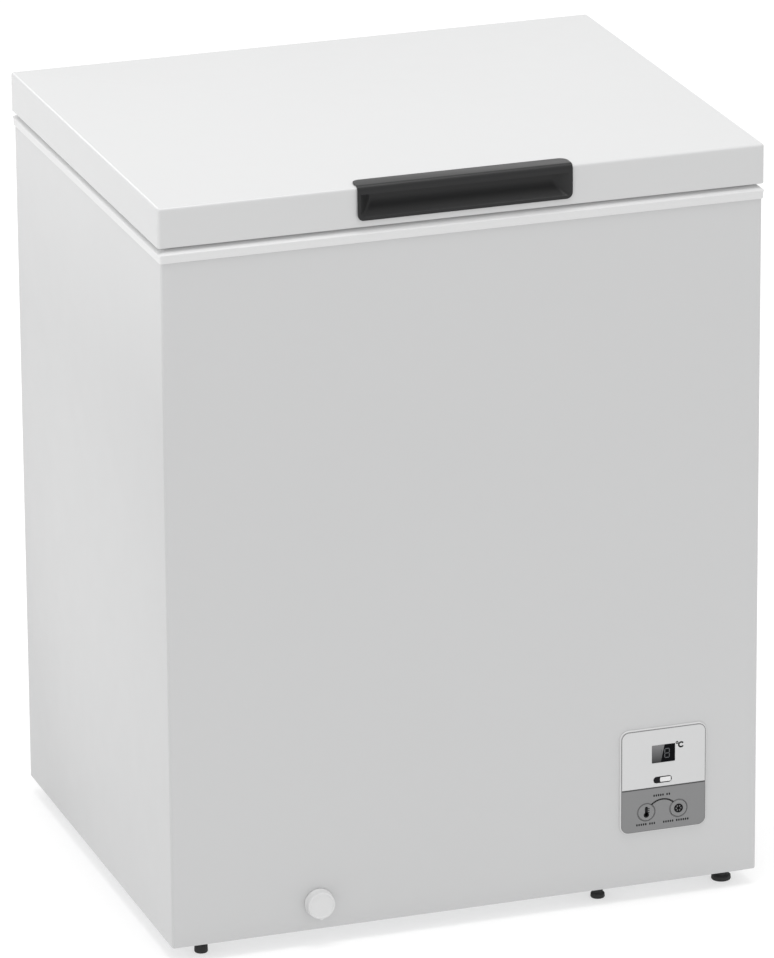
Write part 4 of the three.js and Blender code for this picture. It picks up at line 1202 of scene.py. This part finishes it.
class FREEZER_OT_controls(bpy.types.Operator):
    """Bezel, printed film, display, indicator and push buttons"""

    bl_idname = "freezer.controls"
    bl_label = "Controls"

    def execute(self, context):
        self.bezel = Span("control_bezel")
        self.film = Span("control_overlay")
        self.window = Span("display_window")
        self.lamp = Span("indicator_lens")
        self.keys = {
            "temperature": Span("button_temperature"),
            "freeze": Span("button_freeze"),
        }
        self.make_bezel()
        self.make_film()
        self.make_outline()
        self.make_display()
        self.make_indicator()
        self.make_keys()
        self.make_marks(context.scene.freezer_look)
        dress("circuit_board", "board")
        return {"FINISHED"}

    def make_bezel(self):
        span = self.bezel
        face = Span("outer_wrap").y0
        bm = bmesh.new()
        front_plate(
            bm, span.across, span.upright, 10 * MM, face - 0.1 * MM, span.y0,
            0.9 * MM, 10,
        )
        inset = 5.5 * MM
        front_plate(
            bm, (span.x0 + inset, span.x1 - inset), (span.z0 + inset, span.z1 - inset),
            3.5 * MM, span.y1, face + 0.2 * MM, 0.0, 4,
        )
        finish_piece(
            "panel_bezel", carve(bm, self.openings()), "cabinet", "plastic",
            ("control_bezel",), outward=False,
        )

    def openings(self):
        """What the film and the bezel leave free: key shafts, display and indicator."""
        cutter = bmesh.new()
        ahead = self.film.y0 - 2 * MM
        for key in self.keys.values():
            radius = (key.x1 - key.x0) / 2
            shaft, stem = radius + 0.45 * MM, radius * 0.26 + 0.5 * MM
            skirt, end = key.y0 + 7.6 * MM, key.y1 + 1.5 * MM
            profile = [
                (0, -end), (stem, -end), (stem, -skirt), (shaft, -skirt), (shaft, -ahead),
                (0, -ahead),
            ]
            placed(cutter, turned(cutter, profile, 40), (key.x, 0, key.z), FACING_FRONT)
        play = 0.2 * MM
        for lens, corner in ((self.window, 0.8 * MM), (self.lamp, 3.6 * MM)):
            front_plate(
                cutter, (lens.x0 - play, lens.x1 + play), (lens.z0 - play, lens.z1 + play),
                corner, lens.y1 + play, ahead,
            )
        return cutter

    def make_film(self):
        span = self.film
        bm = bmesh.new()
        back = self.bezel.y0 - 0.02 * MM
        front_plate(
            bm, span.across, span.upright, 8.4 * MM, back + 1.5 * MM, span.y0,
            0.15 * MM, 10,
        )
        finish_piece(
            "panel_film", carve(bm, self.openings()), "cabinet", "film",
            ("control_overlay",), 30, outward=False,
        )

    def make_outline(self):
        """Thin dark ring round the film: painted shade in the gap between the film and the bezel."""
        span = self.film
        wide = (span.x1 - span.x0) / 2
        tall = (span.z1 - span.z0) / 2
        corner = 8.4 * MM
        line = 0.4 * MM
        bm = bmesh.new()
        sections = [
            ((-wide - grow, wide + grow), (-tall - grow, tall + grow), height, corner + grow)
            for grow, height in (
                (line, -span.y1), (line, -span.y0 + 0.05 * MM),
                (-line, -span.y0 + 0.05 * MM), (-line, -span.y1),
            )
        ]
        stack(bm, sections, 10, closed=True)
        placed(bm, bm.verts[:], (span.x, 0, span.z), FACING_FRONT)
        finish_piece("film_joint", bm, "cabinet", "joint")

    def make_display(self):
        span = self.window
        bm = bmesh.new()
        front_plate(bm, span.across, span.upright, 0.8 * MM, span.y1, span.y0, 0.25 * MM, 4)
        finish_piece(
            "display_lens", bm, "cabinet", "window", ("display_window",)
        )
        bm = bmesh.new()
        tall = 5.2 * MM
        wide = 5.4 * MM
        stroke = 1.0 * MM
        front, back = span.y0 - 0.06 * MM, span.y0 + 0.1 * MM
        digits = {"1": "bc", "8": "abcdefg"}
        for index, digit in enumerate("18"):
            left = span.x0 + 5.6 * MM + index * 9.2 * MM
            low = span.z - tall
            corners = {
                "a": ((0, 2), (1, 2)), "b": ((1, 2), (1, 1)), "c": ((1, 1), (1, 0)),
                "d": ((0, 0), (1, 0)), "e": ((0, 0), (0, 1)), "f": ((0, 1), (0, 2)),
                "g": ((0, 1), (1, 1)),
            }
            for name in digits[digit]:
                (u0, v0), (u1, v1) = corners[name]
                start = Vector((left + u0 * wide, low + v0 * tall))
                end = Vector((left + u1 * wide, low + v1 * tall))
                gap = (end - start).normalized() * stroke * 0.85
                front_bar(bm, start + gap, end - gap, stroke, back, front)
        finish_piece("display_digits", bm, "cabinet", "digit")

    def make_indicator(self):
        span = self.lamp
        bm = bmesh.new()
        front_plate(
            bm, span.across, span.upright, 3.5 * MM, span.y1, span.y0 + 0.3 * MM,
            0.2 * MM, 8,
        )
        finish_piece(
            "indicator_frame", bm, "cabinet", "ink", ("indicator_lens",)
        )
        bm = bmesh.new()
        rim = 1.0 * MM
        third = (span.x1 - span.x0) * 0.36
        front_plate(
            bm, (span.x0 + third, span.x1 - rim), (span.z0 + rim, span.z1 - rim), 1.2 * MM,
            span.y1, span.y0 + 0.05 * MM, 0.2 * MM, 6,
        )
        finish_piece("indicator_light", bm, "cabinet", "white_ink")

    def make_keys(self):
        for name, key in self.keys.items():
            radius = (key.x1 - key.x0) / 2
            bm = bmesh.new()
            stem, end, face = radius * 0.26, -key.y1, -key.y0
            profile = [
                (0, end), (stem, end), (stem, face - 6 * MM), (radius, face - 6 * MM),
                (radius, face - 0.7 * MM), (radius - 0.25 * MM, face - 0.2 * MM),
                (radius - 0.8 * MM, face), (radius * 0.75, face - 0.1 * MM),
                (radius * 0.4, face - 0.22 * MM), (0, face - 0.26 * MM),
            ]
            placed(bm, turned(bm, profile, 48), (key.x, 0, key.z), FACING_FRONT)
            finish_piece(
                f"{name}_key", bm, f"{name}_button", "key",
                (f"button_{name}",),
            )
        self.make_thermometer(self.keys["temperature"])
        self.make_snowflake(self.keys["freeze"])

    def make_thermometer(self, key):
        bm = bmesh.new()
        back, front = key.y0 + 0.4 * MM, key.y0 - 0.02 * MM
        front_disc(bm, key.x, key.z - 3.2 * MM, 3.1 * MM, back, front, 0.02 * MM, 20)
        front_bar(bm, (key.x, key.z - 3 * MM), (key.x, key.z + 5 * MM), 3.3 * MM, back, front)
        for step in range(3):
            height = key.z + (step * 2.2 - 0.4) * MM
            front_bar(
                bm, (key.x + 2 * MM, height), (key.x + 3.4 * MM, height), 0.8 * MM, back, front
            )
        finish_piece("thermometer_mark", bm, "temperature_button", "ink")

    def make_snowflake(self, key):
        bm = bmesh.new()
        back, front = key.y0 + 0.4 * MM, key.y0 - 0.02 * MM
        front_ring(bm, key.x, key.z, 5.2 * MM, 1.8 * MM, back, front, 30)
        for arm in range(3):
            angle = math.radians(90 + arm * 60)
            reach = Vector((math.cos(angle), math.sin(angle))) * 3.8 * MM
            centre = Vector((key.x, key.z))
            front_bar(bm, centre - reach, centre + reach, 1.4 * MM, back, front)
        finish_piece("snowflake_mark", bm, "freeze_button", "ink")

    def make_marks(self, look):
        """Printing on the film: unit sign, linking arc, rings and plain caption bars."""
        film = self.film
        back, front = film.y0 + 0.1 * MM, film.y0 - 0.03 * MM
        unit = Vector((self.window.x1 + 2.4 * MM, self.window.z1 - 0.4 * MM))
        bm = bmesh.new()
        front_ring(bm, unit.x, unit.y + 0.8 * MM, 1.7 * MM, 1.1 * MM, back, front, 20)
        arc_centre = unit + Vector((4.8 * MM, -2.0 * MM))
        self.arc(bm, arc_centre, 2.8 * MM, 48, 312, 1.8 * MM, back, front, 10)
        left, right = self.keys["temperature"], self.keys["freeze"]
        under = left.z - 14.0 * MM
        over = look.film_split - 9.4 * MM
        for start, height, words in (
            (film.x0 + 18 * MM, under, (5, 3)), (film.x0 + 49.5 * MM, under, (5, 6)),
            (film.x0 + 38 * MM, over, (5, 2)),
        ):
            self.caption(bm, start, height, words, back, front)
        finish_piece("panel_marks", bm, "cabinet", "ink")
        bm = bmesh.new()
        for key in (left, right):
            radius = (key.x1 - key.x0) / 2
            front_ring(bm, key.x, key.z, radius + 1.3 * MM, 1.0 * MM, back, front, 48)
        middle = Vector(((left.x + right.x) / 2, left.z - 5.5 * MM))
        self.arc(bm, middle, 18.6 * MM, 46, 134, 1.9 * MM, back, front, 14)
        finish_piece("panel_lines", bm, "cabinet", "grey_ink")

    def caption(self, bm, start, height, words, back, front):
        """A row of plain upright strokes in place of each word."""
        place = start
        for word in words:
            for _ in range(word):
                front_bar(
                    bm, (place, height - 0.5 * MM), (place, height + 0.5 * MM), 1.7 * MM,
                    back, front,
                )
                place += 2.6 * MM
            place += 2.2 * MM

    def arc(self, bm, centre, radius, start, end, width, back, front, steps):
        points = []
        for step in range(steps + 1):
            angle = math.radians(start + (end - start) * step / steps)
            points.append(centre + Vector((math.cos(angle), math.sin(angle))) * radius)
        for a, b in zip(points, points[1:]):
            front_bar(bm, a, b, width, back, front)


# ------------------------------------------------------------------ drain and feet


class FREEZER_OT_drain(bpy.types.Operator):
    """Drain dial, sleeve, tube and the plug in the cavity's floor"""

    bl_idname = "freezer.drain"
    bl_label = "Drain"

    def execute(self, context):
        span = Span("drain_dial")
        face = Span("outer_wrap").y0
        flange = (span.x1 - span.x0) / 2
        radius = flange - 1.0 * MM
        depth = face - span.y0
        gap = 0.4 * MM  # between the flange and the sheet
        spigot, reach = 3 * MM, 30 * MM
        profile = [
            (0, depth - 0.9 * MM), (radius * 0.55, depth - 0.85 * MM),
            (radius - 2.6 * MM, depth - 0.7 * MM), (radius - 2.1 * MM, depth - 0.1 * MM),
            (radius - 1.2 * MM, depth), (radius - 0.35 * MM, depth - 0.35 * MM),
            (radius, depth - 1.2 * MM), (radius + 0.1 * MM, 4.2 * MM),
            (radius + 0.3 * MM, 3.2 * MM), (flange - 0.3 * MM, 2.4 * MM), (flange, 2.0 * MM),
            (flange, gap), (2 * spigot, gap), (spigot, 0.3 * MM), (spigot, -reach), (0, -reach),
        ]
        bm = bmesh.new()
        placed(bm, turned(bm, profile, 72), (span.x, face, span.z), FACING_FRONT)
        block(
            bm, (span.x - 1.6 * MM, span.y0 + 0.6 * MM, span.z - flange - 0.3 * MM),
            (span.x + 1.6 * MM, face - 3 * MM, span.z - radius + 0.6 * MM), 0.5 * MM, 2,
        )
        finish_piece("drain_knob", bm, "dial", "plastic", ("drain_dial",))
        refined("drain_stem", "drain_sleeve", "dial_sleeve", "plastic", 0.3 * MM)
        dress("drain_tube", "plastic")
        self.make_plug()
        return {"FINISHED"}

    def make_plug(self):
        span = Span("drain_plug")
        tail = 14 * MM  # length of the taper that fills the drain's mouth
        base = span.z0 + tail
        radius = (span.x1 - span.x0) / 2
        profile = [
            (0, -tail), (5 * MM, -tail), (5.7 * MM, -13.2 * MM), (6.5 * MM, 0),
            (radius - 0.6 * MM, 0.35 * MM), (radius, 0.9 * MM), (radius, 1.7 * MM),
            (radius - 0.8 * MM, 2.5 * MM), (radius - 3 * MM, 3 * MM), (0, 3 * MM),
        ]
        bm = bmesh.new()
        place = (span.x, span.y, base)
        placed(bm, turned(bm, profile, 40), place)
        block(
            bm, (span.x - 9 * MM, span.y - 1.6 * MM, base + 2 * MM),
            (span.x + 9 * MM, span.y + 1.6 * MM, span.z1), 1.2 * MM, 3,
        )
        finish_piece("floor_plug", bm, "inner_plug", "plastic", ("drain_plug",))


class FREEZER_OT_feet(bpy.types.Operator):
    """Feet under the cabinet and under the base plate"""

    bl_idname = "freezer.feet"
    bl_label = "Feet"

    def execute(self, context):
        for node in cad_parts:
            if not node.startswith("foot_"):
                continue
            span = Span(node)
            radius = (span.y1 - span.y0) / 2
            tall = span.z1
            profile = [
                (0, 0), (radius - 1.6 * MM, 0), (radius - 0.5 * MM, 0.35 * MM),
                (radius, 1.4 * MM), (radius * 0.97, tall * 0.42),
                (radius * 0.86, tall * 0.5), (radius * 0.72, tall * 0.56),
                (radius * 0.7, tall), (0, tall),
            ]
            bm = bmesh.new()
            placed(bm, turned(bm, profile, 32), (span.x, span.y, 0))
            finish_piece(f"{node}_pad", bm, "cabinet", "rubber", (node,))
        return {"FINISHED"}


# ------------------------------------------------------------------ hinges


class FREEZER_OT_hinges(bpy.types.Operator):
    """Brackets, pins, lid arms, springs and their screws"""

    bl_idname = "freezer.hinges"
    bl_label = "Hinges"

    def execute(self, context):
        fixed = bmesh.new()
        moving = bmesh.new()
        for side in ("left", "right"):
            for node, name, body, key, edge in (
                ("base", "bracket", "cabinet", "zinc", 0.5),
                ("leaf", "lid_arm", "lid", "zinc", 0.5), ("pin", "pin", "cabinet", "bright", 0.4),
            ):
                node = f"hinge_{node}_{side}"
                refined(node, f"{side}_{name}", body, key, edge * MM)
            self.make_spring(side)
            bracket = Span(f"hinge_base_{side}")
            plate_face = bracket.y0 + 2.5 * MM
            for across in (-14 * MM, 14 * MM):
                for height in (10 * MM, 28 * MM):
                    place = (bracket.x + across, plate_face, bracket.z0 + height)
                    screw(fixed, place, FACING_BACK, 4.5 * MM, 2.4 * MM)
            leaf = Span(f"hinge_leaf_{side}")
            leaf_face = leaf.y0 + 2.5 * MM
            for across in (-17 * MM, 0.0, 17 * MM):
                place = (leaf.x + across, leaf_face, leaf.z1 - 6.5 * MM)
                screw(moving, place, FACING_BACK, 4.0 * MM, 2.2 * MM)
        finish_piece("bracket_screws", fixed, "cabinet", "bright")
        finish_piece("arm_screws", moving, "lid", "bright")
        return {"FINISHED"}

    def make_spring(self, side):
        """A coil spun round the pin while it moves along it."""
        span = Span(f"hinge_spring_{side}")
        wire = 1.35 * MM
        turns = 7
        length = span.x1 - span.x0 - 2 * wire
        radius = (span.z1 - span.z0) / 2 - wire
        steps = turns * 20
        bm = bmesh.new()
        ring = bmesh.ops.create_circle(bm, cap_ends=True, radius=wire, segments=10)["verts"]
        placed(bm, ring, (span.x - length / 2, span.y, span.z + radius), FACING_FRONT)
        bmesh.ops.spin(
            bm, geom=bm.verts[:] + bm.edges[:] + bm.faces[:], cent=(0, span.y, span.z),
            axis=(1, 0, 0), dvec=(length / steps, 0, 0), angle=math.tau * turns, steps=steps,
        )
        finish_piece(
            f"{side}_spring", bm, "cabinet", "bright",
            (f"hinge_spring_{side}",), 60,
        )


# ------------------------------------------------------------------ machine compartment


class FREEZER_OT_machine(bpy.types.Operator):
    """Compressor, tubes, base plate and rear cover"""

    bl_idname = "freezer.machine"
    bl_label = "Machine compartment"

    def execute(self, context):
        self.make_compressor()
        for node, name, key, slot, edge, segments in (
            ("rear_grille", "rear_cover", "zinc", "zinc_steel", 0.3, 2),
            ("base_plate", "compressor_tray", "zinc", "zinc_steel", 0.5, 2),
            ("cord_gland", "cord_bushing", "rubber", "black_rubber", 0.5, 2),
            ("terminal_cover", "terminal_box", "black", "black_paint", 1.5, 3),
        ):
            refined(node, name, "cabinet", key, edge * MM, segments)
        for node, key in (
            ("compressor_cradle", "black"), ("discharge_line", "copper"),
            ("suction_line", "copper"), ("filter_drier", "copper"), ("capillary_tube", "copper"),
            ("grommet_1", "rubber"), ("grommet_2", "rubber"), ("grommet_3", "rubber"),
            ("grommet_4", "rubber"),
        ):
            dress(node, key)
        self.make_cover_screws()
        return {"FINISHED"}

    def make_compressor(self):
        """Two drawn shells welded round the middle."""
        span = Span("compressor_shell")
        wide = (span.x1 - span.x0) / 2
        deep = (span.y1 - span.y0) / 2
        tall = span.z1 - span.z0
        profile = [
            (0, 0), (0.66, 0), (0.8, 0.02), (0.9, 0.07), (0.96, 0.15), (0.975, 0.24),
            (0.975, 0.44), (1.0, 0.445), (1.0, 0.475), (0.965, 0.485), (0.96, 0.58),
            (0.94, 0.7), (0.88, 0.81), (0.76, 0.9), (0.55, 0.96), (0.3, 0.99), (0, 1.0),
        ]
        bm = bmesh.new()
        verts = turned(bm, [(radius * wide, height * tall) for radius, height in profile], 64)
        bmesh.ops.scale(bm, vec=(1, deep / wide, 1), verts=verts)
        placed(bm, verts, (span.x, span.y, span.z0))
        finish_piece(
            "compressor", bm, "cabinet", "black", ("compressor_shell",), 25
        )

    def make_cover_screws(self):
        span = Span("rear_grille")
        bm = bmesh.new()
        for across in (span.x0 + 6 * MM, span.x1 - 6 * MM):
            for height in (span.z0 + 8 * MM, span.z, span.z1 - 8 * MM):
                screw(bm, (across, span.y1, height), FACING_BACK)
        finish_piece("cover_screws", bm, "cabinet", "bright")


# ------------------------------------------------------------------ basket


class FREEZER_OT_basket(bpy.types.Operator):
    """Coated wire basket that hangs in the mouth"""

    bl_idname = "freezer.basket"
    bl_label = "Basket"

    def execute(self, context):
        sizes = context.scene.freezer_sizes
        rim = Span("basket_rim")
        floor = Span("basket_floor")
        self.make_wires(sizes, rim, floor)
        self.make_rim(sizes, rim)
        for end in ("front", "back"):
            self.make_hanger(end)
        return {"FINISHED"}

    def make_wires(self, sizes, rim, floor):
        wire = sizes.wire
        x0, x1 = rim.x0 + 2 * wire, rim.x1 - 2 * wire
        y0, y1 = rim.y0 + 2 * wire, rim.y1 - 2 * wire
        top = rim.z1 - wire
        low = floor.z0 + wire
        bend = 14 * MM
        runs = []
        for value in spaced(x0 + bend, x1 - bend, sizes.wire_pitch):
            loop = hanging_run(y0, y1, top, low, bend)
            runs.append(([(value, across, height) for across, height in loop], False))
        for value in spaced(y0 + bend, y1 - bend, sizes.wire_pitch):
            loop = hanging_run(x0, x1, top, low + 2 * wire, bend)
            runs.append(([(across, value, height) for across, height in loop], False))
        for height in spaced(low + 40 * MM, top - 30 * MM, 50 * MM):
            runs.append((level_ring(x0, x1, y0, y1, height, 10 * MM), True))
        bm = wires(runs, wire, 2)
        finish_piece(
            "basket_wires", bm, "basket", "basket",
            ("basket_floor", "basket_side_left", "basket_side_right", "basket_end_front",
             "basket_end_back"),
        )

    def make_rim(self, sizes, rim):
        thick = sizes.rim_wire
        ring = level_ring(
            rim.x0 + thick, rim.x1 - thick, rim.y0 + thick, rim.y1 - thick,
            rim.z1 - thick, 10 * MM,
        )
        bm = wires([(ring, True)], thick, 4)
        finish_piece("basket_rim_wire", bm, "basket", "basket", ("basket_rim",))

    def make_hanger(self, end):
        node = f"basket_hanger_{end}"
        refined(node, f"basket_hook_{end}", "basket", "basket", 1.2 * MM, 3)


def spaced(start, end, pitch):
    """Evenly spaced values from start to end, about a pitch apart."""
    count = max(1, round((end - start) / pitch))
    return [start + (end - start) * index / count for index in range(count + 1)]


def hanging_run(start, end, top, low, bend):
    """A wire down one wall, across the floor and up the other wall, with round bends."""
    points = [(start, top)]
    steps = 6
    for step in range(steps + 1):
        angle = math.pi + step / steps * math.pi / 2
        points.append((start + bend + bend * math.cos(angle), low + bend + bend * math.sin(angle)))
    for step in range(steps + 1):
        angle = -math.pi / 2 + step / steps * math.pi / 2
        points.append((end - bend + bend * math.cos(angle), low + bend + bend * math.sin(angle)))
    points.append((end, top))
    return points


def level_ring(x0, x1, y0, y1, height, corner):
    """Points of a level rectangle with round corners."""
    centres = [
        (x1 - corner, y1 - corner, 0), (x0 + corner, y1 - corner, 90),
        (x0 + corner, y0 + corner, 180), (x1 - corner, y0 + corner, 270),
    ]
    points = []
    for cx, cy, start in centres:
        for step in range(6):
            angle = math.radians(start + step * 18)
            points.append((cx + corner * math.cos(angle), cy + corner * math.sin(angle), height))
    return points


# ------------------------------------------------------------------ stage


class FREEZER_OT_stage(bpy.types.Operator):
    """Floor, sky, soft boxes and camera"""

    bl_idname = "freezer.stage"
    bl_label = "Stage"

    def execute(self, context):
        stage = context.scene.freezer_stage
        self.make_floor()
        self.make_sky(context, stage.sky)
        for name, place, aim, size, power in (
            ("key_light", (-0.2, -0.5, 4.2), 0.6, 2.4, stage.key),
            ("side_light", (-4.2, -1.4, 1.8), 0.5, 2.6, stage.side),
            ("rim_light", (-0.6, 4.8, 3.2), 0.8, 1.2, stage.rim),
        ):
            self.soft_box(name, place, (0, 0, aim), size, size, power)
        lid = Span("lid_skin")
        strip = self.soft_box(
            "strip_light", (lid.x0 - 1.0, lid.y, lid.z1), (lid.x0, lid.y, lid.z1), 1.1, 0.05,
            stage.strip,
        )
        strip.spread = math.radians(30)
        self.make_camera(context, stage)
        context.scene.view_settings.view_transform = "Standard"
        return {"FINISHED"}

    def make_floor(self):
        bm = bmesh.new()
        bmesh.ops.create_grid(bm, x_segments=2, y_segments=2, size=30)
        floor = linked("floor", meshed("floor", bm))
        floor.data.materials.append(finish("floor"))

    def make_sky(self, context, strength):
        world = bpy.data.worlds.new("studio")
        world.use_nodes = True
        background = world.node_tree.nodes["Background"]
        background.inputs["Color"].default_value = (1, 1, 1, 1)
        background.inputs["Strength"].default_value = strength
        context.scene.world = world

    def soft_box(self, name, place, target, wide, tall, power):
        light = bpy.data.lights.new(name, "AREA")
        light.shape = "RECTANGLE"
        light.size = wide
        light.size_y = tall
        light.energy = power
        holder = linked(name, light)
        direction = Vector(target) - Vector(place)
        holder.rotation_euler = direction.to_track_quat("-Z", "Y").to_euler()
        holder.location = place
        return light

    def make_camera(self, context, stage):
        az, el, roll = stage.azimuth, stage.elevation, stage.roll
        back = Vector((math.sin(az) * math.cos(el), -math.cos(az) * math.cos(el), math.sin(el)))
        right = Vector((math.cos(az), math.sin(az), 0))
        up = back.cross(right)
        right_rolled = right * math.cos(roll) + up * math.sin(roll)
        up_rolled = up * math.cos(roll) - right * math.sin(roll)
        turn = Matrix((right_rolled, up_rolled, back)).transposed()
        data = bpy.data.cameras.new("camera")
        data.sensor_width = 36
        data.lens = stage.lens
        data.clip_end = 100
        camera = linked("camera", data)
        camera.matrix_world = Matrix.Translation(Vector(stage.place)) @ turn.to_4x4()
        context.scene.camera = camera


# ------------------------------------------------------------------ panel and registration


OPERATORS = (
    FREEZER_OT_stage, FREEZER_OT_cabinet, FREEZER_OT_collar, FREEZER_OT_lid,
    FREEZER_OT_handle, FREEZER_OT_controls, FREEZER_OT_drain, FREEZER_OT_feet,
    FREEZER_OT_hinges, FREEZER_OT_machine, FREEZER_OT_basket,
)
SETTINGS = (
    ("freezer_look", FreezerLook), ("freezer_sizes", FreezerSizes), ("freezer_stage", FreezerStage),
)


class VIEW3D_PT_freezer(bpy.types.Panel):
    """Lists the freezer's settings and pieces"""

    bl_label = "Freezer"
    bl_idname = "VIEW3D_PT_freezer"
    bl_space_type = "VIEW_3D"
    bl_region_type = "UI"
    bl_category = "Freezer"

    def draw(self, context):
        for operator in OPERATORS:
            self.layout.operator(operator.bl_idname)
        for name, group in SETTINGS:
            box = self.layout.box()
            for key in group.__annotations__:
                box.prop(getattr(context.scene, name), key)


def register():
    for name, group in SETTINGS:
        bpy.utils.register_class(group)
        setattr(bpy.types.Scene, name, bpy.props.PointerProperty(type=group))
    for operator in OPERATORS:
        bpy.utils.register_class(operator)
    bpy.utils.register_class(VIEW3D_PT_freezer)


def unregister():
    bpy.utils.unregister_class(VIEW3D_PT_freezer)
    for operator in reversed(OPERATORS):
        bpy.utils.unregister_class(operator)
    for name, group in reversed(SETTINGS):
        delattr(bpy.types.Scene, name)
        bpy.utils.unregister_class(group)


def main():
    register()
    for operator in OPERATORS:
        family, name = operator.bl_idname.split(".")
        getattr(getattr(bpy.ops, family), name)()


if __name__ == "__main__":
    main()
